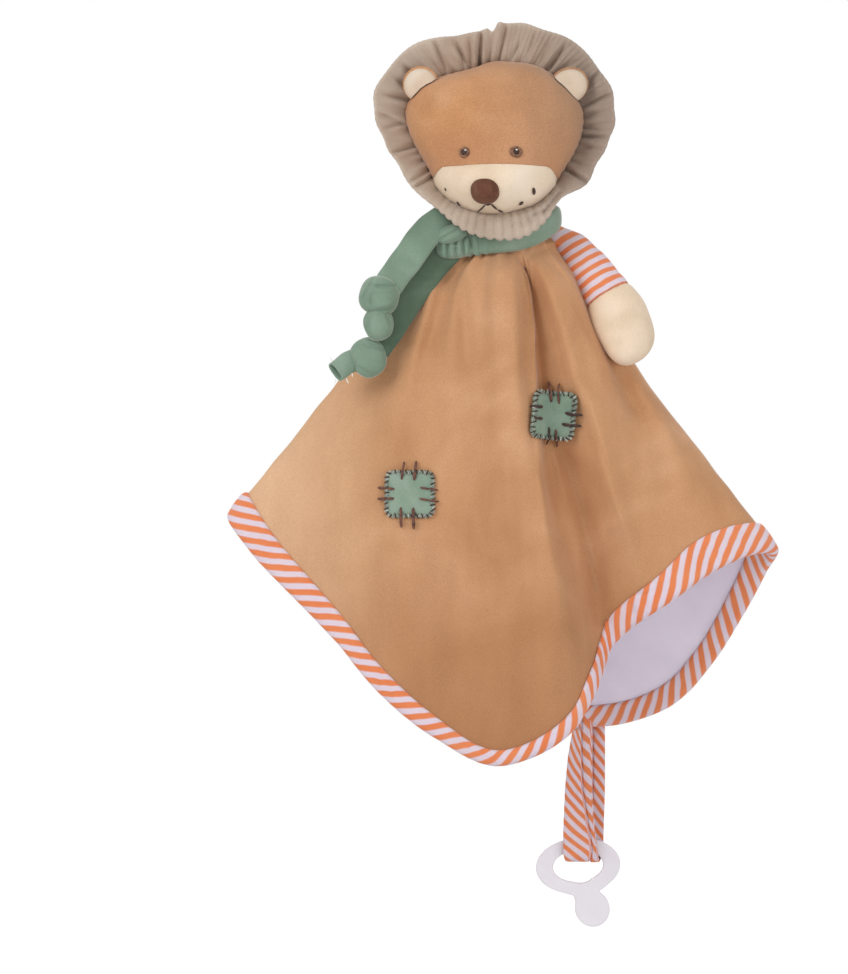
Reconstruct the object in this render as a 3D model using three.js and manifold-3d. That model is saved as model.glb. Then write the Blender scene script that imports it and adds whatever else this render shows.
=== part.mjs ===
// Comfort blanket lovey: a square blanket gathered at its middle under a small stuffed lion.
// Millimetres, +Z up, +Y away from the viewer, origin at the middle of the neck.
import * as THREE from 'three';
import Module from 'manifold-3d';

// Fits shared by all pieces
const layerGap = 0.3;
const cutOverrun = 40;

// Blanket
const blanketSide = 308;
const velourThickness = 1.5;
const liningThickness = 0.8;
const bindingWidth = 9.5;
const bindingThickness = 1;
const patchThickness = 0.9;
const patchStitchThickness = 0.8;
const leftPatchWidth = 19.5;
const leftPatchHeight = 18.5;
const rightPatchWidth = 17.6;
const rightPatchHeight = 19.5;
const patchCornerRadius = 3;
const patchBorderWidth = 1.8;
const patchStitchLength = 6;
const patchStitchWidth = 1.3;
const patchReach = 60;

// Neck
const neckWidth = 30;
const neckDepth = 26;
const gatherTop = 1;
const gatherBottom = -6;
const shoulderWidth = 64;
const shoulderDepth = 43;
const shoulderDrop = 18;
const threadDiameter = 1.2;
const stumpBottom = -20;
const stumpShoulder = 3.5;
const stumpTop = 13;
const nodHeight = 8.2;
const nodBack = 15;
const nodForward = 4;

// Scarf
const scarfThickness = 5.4;
const scarfWidth = 10;
const scarfFrontHeight = -1.5;
const scarfRise = 9;
const tailWidth = 11.6;
const tailThickness = 4.6;
const frontTailRise = 3.5;
const frontTailTuck = 0.7;
const backTailDrop = 4.5;
const backTailTuck = 2.4;

// Head
const headCentreX = -2.6;
const headCentreShare = 0.817;
const headHalfWidth = 35.5;
const headCentreZ = stumpTop + headCentreShare * headHalfWidth;
const faceDepth = 27;
const backDepth = 21;
const seamSetback = -2;
const skinThickness = 1.4;
const snoutProud = 5;
const snoutWidth = 30;
const snoutHeight = 18;
const muzzleSeamDrop = 15;
const maneThickness = 3.2;
const maneSideLean = 9;
const maneChinLean = 15;
const manePleatDepth = 1.3;
const manePleatCount = 40;
const earWidth = 14;
const earHeight = 18;
const earThickness = 5;
const eyeWidth = 4.4;
const eyeHeight = 4.8;
const eyeProud = 0.9;
const pupilWidth = 2;
const noseWidth = 11.2;
const noseHeight = 10;
const noseProud = 3.2;
const mouthThread = 0.8;
const whiskerDotSize = 1.8;
const whiskerDotProud = 0.5;

// Arms
const armLength = 67;
const armPivotHeight = 3.5;

// Strap and ring
const strapWidth = 14.4;
const strapThickness = 1.6;
const strapDrop = 56;
const strapLean = 3;
const strapEase = 0.9;
const barTackHeight = 2.5;
const barTackThickness = 0.8;
const barTackWidth = 12;
const ringWidth = 35.4;
const ringHeight = 23.3;
const ringHoleWidth = 20.8;
const ringHoleHeight = 13.1;
const ringThickness = 4.2;
const tabWidth = 14.6;
const tabLength = 15.6;
const tabThickness = 4.8;

const halfSide = blanketSide / 2;
const neckHalfWidth = neckWidth / 2;
const neckHalfDepth = neckDepth / 2;
const wasm = await Module();
wasm.setup();

const group = new THREE.Group();

function point(x, y, z) {
  return new THREE.Vector3(x, y, z);
}

function radians(turn) {
  return THREE.MathUtils.degToRad(turn);
}

// Meshes

function signedVolume(points, faces) {
  let volume = 0;
  for (const [a, b, c] of faces) {
    volume += points[a].dot(points[b].clone().cross(points[c])) / 6;
  }
  return volume;
}

function closedGeometry(points, faces) {
  const turned = signedVolume(points, faces) < 0;
  const geometry = new THREE.BufferGeometry();
  const flat = points.flatMap((corner) => [corner.x, corner.y, corner.z]);
  const index = faces.flatMap(([a, b, c]) => (turned ? [a, c, b] : [a, b, c]));
  geometry.setAttribute('position', new THREE.Float32BufferAttribute(flat, 3));
  geometry.setIndex(index);
  return geometry;
}

// A band of faces between two sections. A side listed as mirrored is split along its other
// diagonal, so that layers that face each other are split alike.
function joinSections(faces, first, second, count, mirrored) {
  for (let k = 0; k < count; k += 1) {
    const next = (k + 1) % count;
    const [a, b, c, d] = [first + k, first + next, second + next, second + k];
    if (mirrored && mirrored[k]) {
      faces.push([a, b, d], [b, c, d]);
    } else {
      faces.push([a, b, c], [a, c, d]);
    }
  }
}

// Sections joined one after the other and back to the first
function closedSweep(sections, mirrored = null) {
  const count = sections[0].length;
  const faces = [];
  sections.forEach((section, i) => {
    const following = (i + 1) % sections.length;
    joinSections(faces, i * count, following * count, count, mirrored);
  });
  return closedGeometry(sections.flat(), faces);
}

// Sections joined one after the other, with a fan over each end
function openSweep(sections) {
  const count = sections[0].length;
  const points = sections.flat();
  const faces = [];
  for (let i = 0; i + 1 < sections.length; i += 1) {
    joinSections(faces, i * count, (i + 1) * count, count, null);
  }
  const endCentre = (section) => {
    const centre = point(0, 0, 0);
    section.forEach((corner) => centre.add(corner));
    return centre.divideScalar(count);
  };
  const firstCentre = points.push(endCentre(sections[0])) - 1;
  const lastCentre = points.push(endCentre(sections[sections.length - 1])) - 1;
  const lastStart = (sections.length - 1) * count;
  for (let k = 0; k < count; k += 1) {
    const next = (k + 1) % count;
    faces.push([firstCentre, next, k]);
    faces.push([lastCentre, lastStart + k, lastStart + next]);
  }
  return closedGeometry(points, faces);
}

function solidOf(geometry) {
  const position = geometry.getAttribute('position');
  const vertProperties = new Float32Array(position.array);
  const triVerts = new Uint32Array(geometry.getIndex().array);
  const mesh = new wasm.Mesh({ numProp: 3, vertProperties, triVerts });
  mesh.merge();
  return new wasm.Manifold(mesh);
}

function geometryOf(solid) {
  const mesh = solid.getMesh();
  const geometry = new THREE.BufferGeometry();
  geometry.setAttribute('position', new THREE.Float32BufferAttribute(mesh.vertProperties, 3));
  geometry.setIndex(new THREE.Uint32BufferAttribute(mesh.triVerts, 1));
  return geometry;
}

function boxSolid(low, high) {
  const size = high.clone().sub(low);
  const geometry = new THREE.BoxGeometry(size.x, size.y, size.z);
  geometry.translate((low.x + high.x) / 2, (low.y + high.y) / 2, (low.z + high.z) / 2);
  return solidOf(geometry);
}

function addPiece(name, geometry, colour, roughness = 0.95) {
  const material = new THREE.MeshStandardMaterial({ color: colour, roughness, metalness: 0 });
  const flat = geometry.clone();
  flat.deleteAttribute('normal');
  flat.deleteAttribute('uv');
  const mesh = new THREE.Mesh(flat, material);
  mesh.name = name;
  group.add(mesh);
}

// An ellipse of points round a place, in the plane of two directions
function ellipseSection(centre, across, through, halfAcross, halfThrough, count) {
  return Array.from({ length: count }, (_, k) => {
    const angle = (k * 2 * Math.PI) / count;
    return centre.clone()
      .addScaledVector(across, halfAcross * Math.cos(angle))
      .addScaledVector(through, halfThrough * Math.sin(angle));
  });
}

// A smooth closed curve through shares given at even turns
function shareAround(shares, turn) {
  const count = shares.length;
  const place = ((((turn / 360) % 1) + 1) % 1) * count;
  const k = Math.floor(place);
  const t = place - k;
  const [a, b, c, d] = [-1, 0, 1, 2].map((step) => shares[(k + step + count) % count]);
  const bend = 2 * a - 5 * b + 4 * c - d;
  return b + 0.5 * t * (c - a + t * (bend + t * (3 * (b - c) + d - a)));
}

const tanCloth = '#c8966a';
const creamCloth = '#ecdcc2';
const greenCloth = '#8ba892';
const maneCloth = '#b9ac9a';
const lilacCloth = '#d3cbe0';
const stripeCloth = '#e8a684';
const brownThread = '#6b4336';

// Cloth rays from the neck down to the hem, counted from the left side's middle round the front.
// Each holds the ray's turn on the flat square, 0 at the front corner, its turn round the neck and
// the shoulder's share, then shares of half the side: the shift and the depth half way down, and
// the hem's place.
const clothRayShares = [
  [-45, 180, 1.06, 0, 0.04, -0.695, 0.013, -0.727],
  [-37.5, 192, 1, 0, -0.015, -0.618, -0.026, -0.829],
  [-30, 205, 0.98, 0, -0.06, -0.522, -0.058, -0.93],
  [-22.5, 218, 1, 0, -0.09, -0.421, -0.084, -1.036],
  [-15, 232, 0.96, 0, -0.11, -0.317, -0.11, -1.161],
  [-7.5, 247, 1, 0, -0.118, -0.179, -0.136, -1.287],
  [0, 264, 0.96, 0, -0.123, -0.003, -0.156, -1.371],
  [7.5, 282, 1.04, -0.02, -0.14, 0.192, -0.156, -1.252],
  [10, 288, 1.02, -0.035, -0.13, 0.223, -0.123, -1.2],
  [12.5, 292, 0.86, -0.035, -0.075, 0.25, -0.078, -1.149],
  [15, 295, 0.8, -0.035, -0.05, 0.267, -0.032, -1.104],
  [18, 298, 0.8, -0.03, -0.052, 0.29, -0.013, -1.049],
  [21, 301, 0.88, -0.02, -0.075, 0.332, -0.039, -1.003],
  [24, 305, 0.98, -0.01, -0.105, 0.379, -0.071, -0.969],
  [28, 312, 1.02, 0, -0.1, 0.444, -0.084, -0.925],
  [33, 324, 0.94, 0, -0.06, 0.525, -0.071, -0.865],
  [39, 342, 0.92, 0, -0.013, 0.629, -0.045, -0.813],
  [45, 360, 0.92, 0, 0.045, 0.708, 0.013, -0.802],
  [52.5, 368, 0.94, 0, 0.09, 0.697, 0.117, -0.853],
  [60, 376, 0.96, 0, 0.13, 0.636, 0.182, -0.979],
  [67.5, 384, 0.98, 0, 0.17, 0.561, 0.247, -1.107],
  [75, 392, 1, 0, 0.21, 0.473, 0.325, -1.21],
  [82.5, 400, 1.03, 0, 0.247, 0.355, 0.416, -1.265],
  [90, 408, 1.05, 0, 0.273, 0.245, 0.494, -1.276],
  [97.5, 416, 1.03, 0, 0.266, 0.19, 0.474, -1.227],
  [105, 424, 1, 0, 0.247, 0.156, 0.416, -1.156],
  [120, 436, 0.92, 0, 0.208, 0.104, 0.312, -1.039],
  [135, 448, 0.88, 0, 0.195, 0.026, 0.273, -0.974],
  [150, 460, 0.93, 0, 0.221, -0.065, 0.338, -1.026],
  [165, 472, 1, 0, 0.26, -0.169, 0.442, -1.104],
  [180, 482, 1.04, 0, 0.286, -0.247, 0.519, -1.169],
  [195, 490, 1, 0, 0.26, -0.286, 0.416, -1.078],
  [210, 497, 0.94, 0, 0.221, -0.312, 0.299, -0.987],
  [225, 504, 0.9, 0, 0.195, -0.338, 0.234, -0.922],
  [240, 510, 0.92, 0, 0.195, -0.377, 0.299, -0.948],
  [255, 515, 0.98, 0, 0.208, -0.416, 0.403, -0.974],
  [270, 520, 1.03, 0, 0.214, -0.442, 0.481, -0.974],
  [285, 526, 0.98, 0, 0.169, -0.506, 0.338, -0.87],
  [300, 533, 0.96, 0, 0.104, -0.597, 0.169, -0.792],
];
const clothRowShares = [0, 0.03, 0.06, 0.1, 0.15, 0.22, 0.3, 0.39, 0.49, 0.6, 0.72, 0.86, 1];
const strapCornerRay = 23;

function ringPoint(turn, halfWidth, halfDepth, height) {
  return point(halfWidth * Math.cos(radians(turn)), halfDepth * Math.sin(radians(turn)), height);
}

function clothRay([, neckTurn, shoulderShare, shiftShare, depthShare, ...hemShares]) {
  const hem = point(...hemShares).multiplyScalar(halfSide);
  const flare = velourThickness;
  const shoulderHalfWidth = (shoulderWidth / 2) * shoulderShare;
  const shoulderHalfDepth = (shoulderDepth / 2) * shoulderShare;
  const shoulder = ringPoint(neckTurn, shoulderHalfWidth, shoulderHalfDepth, -shoulderDrop);
  const middle = shoulder.clone().lerp(hem, 0.5);
  middle.x += shiftShare * halfSide;
  middle.y = depthShare * halfSide;
  return new THREE.CatmullRomCurve3([
    ringPoint(neckTurn, neckHalfWidth, neckHalfDepth, gatherTop),
    ringPoint(neckTurn, neckHalfWidth + flare, neckHalfDepth + flare, gatherBottom),
    shoulder,
    middle,
    hem,
  ], false, 'centripetal');
}

// How much longer a ray is than a line square to the hem, at the ray's turn on the flat square
function slantOf(flatTurn) {
  const fromSide = ((((flatTurn - 45) % 90) + 135) % 90) - 45;
  return 1 / Math.cos(radians(fromSide));
}

// Outer surface of the cloth: one column of points down each ray, the last row at the hem and
// the row before it at the binding's upper edge
const clothColumns = clothRayShares.map((shares) => {
  const ray = clothRay(shares);
  const bindingStart = 1 - (bindingWidth * slantOf(shares[0])) / ray.getLength();
  const places = [...clothRowShares.map((share) => share * bindingStart), 1];
  return places.map((place) => ray.getPointAt(place));
});
const hemRow = clothColumns[0].length - 1;
const bindingRow = hemRow - 1;

const clothNormals = clothColumns.map((column, i) => {
  const before = clothColumns[(i + clothColumns.length - 1) % clothColumns.length];
  const after = clothColumns[(i + 1) % clothColumns.length];
  return column.map((_, j) => {
    const down = column[Math.min(j + 1, hemRow)].clone().sub(column[Math.max(j - 1, 0)]);
    const round = after[j].clone().sub(before[j]);
    return down.cross(round).normalize();
  });
});

function clothPoint(i, j, lift) {
  return clothColumns[i][j].clone().addScaledVector(clothNormals[i][j], lift);
}

// A layer of the cloth between two lifts off its outer surface
function clothLayer(low, high) {
  const outward = Array.from({ length: hemRow + 1 }, (_, j) => j);
  const inward = [...outward].reverse();
  const sections = clothColumns.map((_, i) => [
    ...outward.map((j) => clothPoint(i, j, high)),
    ...inward.map((j) => clothPoint(i, j, low)),
  ]);
  const mirrored = [...outward.map(() => false), ...inward.map(() => true)];
  return closedSweep(sections, mirrored);
}

const liningOutside = -(velourThickness + layerGap);
const liningInside = liningOutside - liningThickness;

// Striped strip folded over the hem, one leg on the velour and one on the lining. Its inside is
// split at each layer's faces, and each side says whether it is split along its other diagonal.
function hemBinding() {
  const outside = layerGap + bindingThickness;
  const inside = liningInside - layerGap;
  const profile = [
    [bindingRow, outside, 0, false],
    [hemRow, outside, outside, false],
    [hemRow, inside - bindingThickness, outside, true],
    [bindingRow, inside - bindingThickness, 0, false],
    [bindingRow, inside, 0, false],
    [hemRow, inside, layerGap, true],
    [hemRow, liningInside, layerGap, true],
    [hemRow, liningOutside, layerGap, true],
    [hemRow, -velourThickness, layerGap, true],
    [hemRow, 0, layerGap, true],
    [hemRow, layerGap, layerGap, true],
    [bindingRow, layerGap, 0, false],
  ];
  const sections = clothColumns.map((column, i) => {
    const down = column[hemRow].clone().sub(column[bindingRow]).normalize();
    down.multiplyScalar(slantOf(clothRayShares[i][0]));
    return profile.map(([row, lift, beyond]) => clothPoint(i, row, lift).addScaledVector(down, beyond));
  });
  return closedSweep(sections, profile.map(([, , , mirrored]) => mirrored));
}

// Patches: cut from a layer that lies on the velour, so that they follow its folds
function roundedRectangle(width, height, radius) {
  const shape = new THREE.Shape();
  const [x, y] = [width / 2, height / 2];
  shape.moveTo(-x + radius, -y);
  shape.lineTo(x - radius, -y);
  shape.absarc(x - radius, -y + radius, radius, -Math.PI / 2, 0);
  shape.lineTo(x, y - radius);
  shape.absarc(x - radius, y - radius, radius, 0, Math.PI / 2);
  shape.lineTo(-x + radius, y);
  shape.absarc(-x + radius, y - radius, radius, Math.PI / 2, Math.PI);
  shape.lineTo(-x, -y + radius);
  shape.absarc(-x + radius, -y + radius, radius, Math.PI, Math.PI * 1.5);
  return shape;
}

function rectangle(width, height) {
  const shape = new THREE.Shape();
  shape.moveTo(-width / 2, -height / 2);
  shape.lineTo(width / 2, -height / 2);
  shape.lineTo(width / 2, height / 2);
  shape.lineTo(-width / 2, height / 2);
  return shape;
}

// A shape drawn in the front view, swept back from in front of the cloth to half way through it
function frontPrism(shape, centre, turn) {
  const sweep = { depth: patchReach, bevelEnabled: false, curveSegments: 2 };
  const geometry = new THREE.ExtrudeGeometry(shape, sweep);
  geometry.deleteAttribute('normal');
  geometry.deleteAttribute('uv');
  geometry.rotateZ(radians(turn));
  geometry.rotateX(Math.PI / 2);
  geometry.translate(centre.x, 0, centre.z);
  const position = geometry.getAttribute('position');
  const index = Array.from({ length: position.count }, (_, k) => k);
  geometry.setIndex(index);
  return solidOf(geometry);
}

function patchPieces(width, height, centre, turn) {
  const patchLayer = solidOf(clothLayer(layerGap, layerGap + patchThickness));
  const outlinePrism = frontPrism(roundedRectangle(width, height, patchCornerRadius), centre, turn);
  const patch = patchLayer.intersect(outlinePrism);
  const stitchLow = 2 * layerGap + patchThickness;
  const stitchLayer = solidOf(clothLayer(stitchLow, stitchLow + patchStitchThickness));
  const innerWidth = width - 2 * patchBorderWidth;
  const innerHeight = height - 2 * patchBorderWidth;
  const inner = roundedRectangle(innerWidth, innerHeight, patchCornerRadius / 2);
  let outline = outlinePrism.subtract(frontPrism(inner, centre, turn));
  for (const share of patchStitchShares) {
    for (const side of [-1, 1]) {
      const upright = rectangle(patchStitchWidth, patchStitchLength);
      const level = rectangle(patchStitchLength, patchStitchWidth);
      const acrossPlace = point(share * width, 0, (side * (height - patchBorderWidth)) / 2);
      const besidePlace = point((side * (width - patchBorderWidth)) / 2, 0, share * height);
      for (const [shape, place] of [[upright, acrossPlace], [level, besidePlace]]) {
        place.applyAxisAngle(point(0, 1, 0), -radians(turn));
        outline = outline.add(frontPrism(shape, place.add(centre), turn));
      }
    }
  }
  return [geometryOf(patch), geometryOf(stitchLayer.intersect(outline))];
}

const patchStitchShares = [-0.24, 0.24];
const leftPatchShares = [-0.234, 0, -0.665];
const rightPatchShares = [0.138, 0, -0.462];
const rightPatchTurn = -8;

function addBlanket() {
  addPiece('blanket_velour', clothLayer(-velourThickness, 0), tanCloth);
  addPiece('blanket_lining', clothLayer(liningInside, liningOutside), lilacCloth);
  addPiece('hem_binding', hemBinding(), stripeCloth);
  const leftCentre = point(...leftPatchShares).multiplyScalar(halfSide);
  const rightCentre = point(...rightPatchShares).multiplyScalar(halfSide);
  const [leftPatch, leftStitches] = patchPieces(leftPatchWidth, leftPatchHeight, leftCentre, 0);
  const [rightPatch, rightStitches] = patchPieces(
    rightPatchWidth, rightPatchHeight, rightCentre, rightPatchTurn);
  addPiece('left_patch', leftPatch, greenCloth);
  addPiece('left_patch_stitching', leftStitches, brownThread);
  addPiece('right_patch', rightPatch, greenCloth);
  addPiece('right_patch_stitching', rightStitches, brownThread);
}

// Head: an upside-down pear whose seam plane leans back at the top. Shares at every 15 degrees,
// counted from the right round the top.
const faceOutlineShares = [
  0.997, 1.028, 0.98, 0.945, 0.89, 0.834, 0.811, 0.775, 0.803, 0.887, 0.986, 1.02,
  0.95, 0.87, 0.845, 0.9, 0.94, 0.95, 0.948, 0.945, 0.955, 0.924, 0.896, 0.935,
];
const maneOutlineShares = [
  1.332, 1.394, 1.386, 1.358, 1.31, 1.268, 1.215, 1.19, 1.256, 1.341, 1.389, 1.4,
  1.28, 1.169, 1.121, 1.113, 1.104, 1.155, 1.197, 1.217, 1.16, 1.085, 1.192, 1.225,
];
const seamLeanShare = 0.3;
const headFullness = 2.5;
const snoutPlaceShares = [-0.04, -0.65];
const headRoundCount = 32;
const headBandCount = 7;
const stuffingRoundCount = 24;
const stuffingBandCount = 6;

// Depth of the seam plane at a height over the head's middle
function seamDepth(rise) {
  return seamSetback + seamLeanShare * rise;
}

// A point of the head's skin: turn round the outline and latitude, 90 at the face's middle
function headPoint(turn, latitude, lift) {
  const level = Math.cos(radians(latitude)) ** (2 / headFullness);
  const rise = Math.sin(radians(Math.abs(latitude))) ** (2 / headFullness);
  const reach = (headHalfWidth * shareAround(faceOutlineShares, turn) + lift) * level;
  const x = reach * Math.cos(radians(turn));
  const z = reach * Math.sin(radians(turn));
  let y = seamDepth(z);
  if (latitude > 0) {
    const fromX = (x - snoutPlaceShares[0] * headHalfWidth) / (snoutWidth / 2);
    const fromZ = (z - snoutPlaceShares[1] * headHalfWidth) / (snoutHeight / 2);
    const snout = snoutProud * Math.exp(-(fromX * fromX + fromZ * fromZ) / 2);
    y -= (faceDepth + lift + snout) * rise;
  } else {
    y += (backDepth + lift) * rise;
  }
  return point(headCentreX + x, y, headCentreZ + z);
}

// Whole head body, closed, with its skin lifted outwards or inwards
function headSolid(lift, roundCount = headRoundCount, bandCount = headBandCount) {
  const sections = [];
  for (let band = 1 - bandCount; band < bandCount; band += 1) {
    const latitude = (band * 90) / bandCount;
    const round = Array.from({ length: roundCount }, (_, k) => k * (360 / roundCount));
    sections.push(round.map((turn) => headPoint(turn, latitude, lift)));
  }
  return solidOf(openSweep(sections));
}

// Height of the face's skin in front of a place of the front view, as a depth
function faceDepthAt(x, z) {
  const turn = THREE.MathUtils.radToDeg(Math.atan2(z, x));
  const outline = headHalfWidth * shareAround(faceOutlineShares, turn);
  const level = Math.min(Math.hypot(x, z) / outline, 1);
  const latitude = THREE.MathUtils.radToDeg(Math.acos(level ** (headFullness / 2)));
  return headPoint(turn, latitude, 0).y;
}

function ellipsoid(centre, width, depth, height, segments = 14) {
  const geometry = new THREE.SphereGeometry(1, segments, Math.ceil(segments * 0.7));
  geometry.scale(width / 2, depth / 2, height / 2);
  geometry.translate(centre.x, centre.y, centre.z);
  return geometry;
}

// Pads and stitches on the face: ellipsoids on the skin, cut back by the head with a gap
function facePad(sharesX, sharesZ, width, height, proud, segments) {
  const x = sharesX * headHalfWidth;
  const z = sharesZ * headHalfWidth;
  const centre = point(headCentreX + x, faceDepthAt(x, z), headCentreZ + z);
  const depth = (proud + layerGap) * 2;
  return mergedSolid(ellipsoid(centre, width, depth, height, segments)).subtract(grownHead);
}

// A round shape's own seam vertices are joined before it becomes a solid
function mergedSolid(geometry) {
  geometry.deleteAttribute('normal');
  geometry.deleteAttribute('uv');
  return solidOf(geometry);
}

const grownHead = headSolid(layerGap);

function addHeadSkin() {
  const shell = headSolid(0).subtract(headSolid(-skinThickness));
  const seamTurn = Math.atan(seamLeanShare);
  const halfSpace = (side) => {
    const size = cutOverrun * 4;
    const geometry = new THREE.BoxGeometry(size, size, size);
    geometry.translate(0, side * (size / 2 + layerGap / 2), 0);
    geometry.rotateX(-seamTurn);
    geometry.translate(headCentreX, seamSetback, headCentreZ);
    return mergedSolid(geometry);
  };
  const front = shell.intersect(halfSpace(-1));
  const muzzleSeam = headCentreZ - muzzleSeamDrop;
  const low = point(-cutOverrun * 2, -cutOverrun * 2, headCentreZ - cutOverrun * 2);
  const high = point(cutOverrun * 2, cutOverrun * 2, headCentreZ + cutOverrun * 2);
  const above = boxSolid(point(low.x, low.y, muzzleSeam + layerGap / 2), high);
  const below = boxSolid(low, point(high.x, high.y, muzzleSeam - layerGap / 2));
  const stuffing = headSolid(-skinThickness - layerGap * 2, stuffingRoundCount, stuffingBandCount);
  addPiece('forehead_panel', geometryOf(front.intersect(above)), tanCloth);
  addPiece('muzzle_panel', geometryOf(front.intersect(below)), creamCloth);
  addPiece('head_back_panel', geometryOf(shell.intersect(halfSpace(1))), tanCloth);
  addPiece('head_stuffing', geometryOf(stuffing), '#f4f2ee');
}

// Mane: a gathered strip standing out of the head's seam all round. Its section runs out along
// the front and back along the rear; shares of the strip's reach and of its half thickness.
const maneSectionShares = [
  [0, 0.7], [0.33, 1], [0.7, 1], [0.96, 0.6], [0.96, -0.6], [0.7, -1], [0.33, -1], [0, -0.7],
];
const maneStepsPerPleat = 3;

function manePoint(turn, reachShare, thicknessShare) {
  const chin = Math.max(0, -Math.sin(radians(turn))) ** 2;
  const lean = maneSideLean + (maneChinLean - maneSideLean) * chin;
  const curl = 0.8 + chin;
  const inner = headHalfWidth * shareAround(faceOutlineShares, turn) + layerGap;
  const outer = headHalfWidth * shareAround(maneOutlineShares, turn);
  const pleat = Math.cos(radians(turn * manePleatCount));
  const reach = inner + (outer - inner) * reachShare ** curl + (manePleatDepth / 2) * pleat * reachShare;
  const z = reach * Math.sin(radians(turn));
  const seamZ = inner * Math.sin(radians(turn));
  const forward = lean * reachShare ** (1 / curl);
  const wave = manePleatDepth * pleat * reachShare;
  const half = (maneThickness / 2) * thicknessShare;
  const y = seamDepth(seamZ) - forward + wave * (1 - chin / 2) - half * (1 - 0.4 * chin * reachShare);
  const drop = half * chin * 0.7 * reachShare;
  return point(headCentreX + reach * Math.cos(radians(turn)), y, headCentreZ + z + drop);
}

function maneRuffle() {
  const steps = manePleatCount * maneStepsPerPleat;
  const sections = Array.from({ length: steps }, (_, k) => {
    const turn = (k * 360) / steps;
    return maneSectionShares.map(([reach, thickness]) => manePoint(turn, reach, thickness));
  });
  return closedSweep(sections);
}

// Ears: flat ovals whose lower half lies against the head in front of the mane
const earTurns = { left: 144, right: 33 };
const earForwardShare = 0.31;

function addEar(side) {
  const turn = earTurns[side];
  const outline = headHalfWidth * shareAround(faceOutlineShares, turn);
  const middle = headPoint(turn, 0, 0);
  const forward = point(0, -earForwardShare * outline, 0);
  const geometry = new THREE.SphereGeometry(1, 16, 10);
  geometry.scale(earHeight / 2, earThickness / 2, earWidth / 2);
  geometry.rotateY(-radians(turn));
  geometry.translate(middle.x, middle.y + forward.y, middle.z);
  const ear = mergedSolid(geometry).subtract(grownHead);
  const split = middle.y + forward.y;
  const size = cutOverrun * 2;
  const frontBox = boxSolid(point(-size, split - size, 0), point(size, split - layerGap / 2, size * 2));
  const backBox = boxSolid(point(-size, split + layerGap / 2, 0), point(size, split + size, size * 2));
  addPiece(`${side}_ear_front`, geometryOf(ear.intersect(frontBox)), creamCloth);
  addPiece(`${side}_ear_back`, geometryOf(ear.intersect(backBox)), tanCloth);
}

const eyePlaceShares = { left: [-0.327, -0.22], right: [0.254, -0.214] };
const nosePlaceShares = [-0.101, -0.665];
const mouthPlaceShares = [[-0.186, -0.89], [-0.13, -0.84], [-0.073, -0.8], [0.02, -0.845], [0.107, -0.89]];
const whiskerPlaceShares = [[-0.53, -0.62], [-0.39, -0.78], [0.31, -0.79], [0.456, -0.64]];

function addFace() {
  for (const side of ['left', 'right']) {
    const [x, z] = eyePlaceShares[side];
    const disc = facePad(x, z, eyeWidth, eyeHeight, eyeProud, 12);
    const hole = mergedSolid(ellipsoid(
      point(headCentreX + x * headHalfWidth, faceDepthAt(x * headHalfWidth, z * headHalfWidth),
        headCentreZ + z * headHalfWidth),
      pupilWidth + layerGap * 2, cutOverrun, pupilWidth + layerGap * 2));
    addPiece(`${side}_eye_ring`, geometryOf(disc.subtract(hole)), '#8a6248');
    const pupil = facePad(x, z, pupilWidth, pupilWidth, eyeProud, 8);
    addPiece(`${side}_eye_pupil`, geometryOf(pupil), '#4a2d22');
  }
  const nose = facePad(...nosePlaceShares, noseWidth, noseHeight, noseProud, 14);
  addPiece('nose', geometryOf(nose), '#694132');
  whiskerPlaceShares.forEach(([x, z], k) => {
    const dot = facePad(x, z, whiskerDotSize, whiskerDotSize, whiskerDotProud, 8);
    addPiece(`whisker_dot_${k + 1}`, geometryOf(dot), brownThread);
  });
  const places = mouthPlaceShares.map(([x, z]) => {
    const [placeX, placeZ] = [x * headHalfWidth, z * headHalfWidth];
    const lift = mouthThread / 2 + layerGap;
    return point(headCentreX + placeX, faceDepthAt(placeX, placeZ) - lift, headCentreZ + placeZ);
  });
  const path = new THREE.CatmullRomCurve3(places, false, 'centripetal');
  const sections = Array.from({ length: 9 }, (_, k) => {
    const along = path.getTangentAt(k / 8);
    const through = point(0, 1, 0).addScaledVector(along, -along.y).normalize();
    const across = along.clone().cross(through);
    return ellipseSection(path.getPointAt(k / 8), across, through, mouthThread / 2, mouthThread / 2, 6);
  });
  const mouth = solidOf(openSweep(sections)).subtract(grownHead);
  addPiece('mouth_stitch', geometryOf(mouth), brownThread);
}

// Neck: the round stuffed stump that the cloth is tied to, hollowed on top for the nodding head
function addNeck() {
  const inside = velourThickness + liningThickness + layerGap * 2;
  const half = neckHalfDepth - inside;
  const profile = [
    [stumpBottom, 0.55], [gatherBottom * 2, 0.9], [gatherBottom, 0.98], [gatherTop, 0.98],
    [stumpShoulder, 0.85], [(stumpShoulder + stumpTop) / 2, 0.55], [stumpTop, 0.2],
  ];
  const sections = profile.map(([height, share]) => ellipseSection(
    point(0, 0, height), point(1, 0, 0), point(0, 1, 0), half * share, half * share, 16));
  let stump = solidOf(openSweep(sections));
  for (const turn of [-nodBack, -nodBack / 2, 0, nodForward]) {
    const lowered = grownHead.translate([0, 0, -nodHeight]);
    stump = stump.subtract(lowered.rotate([turn, 0, 0]).translate([0, 0, nodHeight]));
  }
  addPiece('neck_stump', geometryOf(stump), tanCloth);
  const wrap = threadDiameter / 2 + layerGap;
  const thread = Array.from({ length: 32 }, (_, k) => {
    const turn = (k * 360) / 32;
    const outward = point(Math.cos(radians(turn)), Math.sin(radians(turn)), 0);
    const lift = velourThickness / 2 + wrap;
    const height = (gatherTop + gatherBottom) / 2;
    const centre = ringPoint(turn, neckHalfWidth + lift, neckHalfDepth + lift, height);
    return ellipseSection(centre, outward, point(0, 0, 1), threadDiameter / 2, threadDiameter / 2, 6);
  });
  addPiece('neck_thread', closedSweep(thread), brownThread);
}

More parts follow.
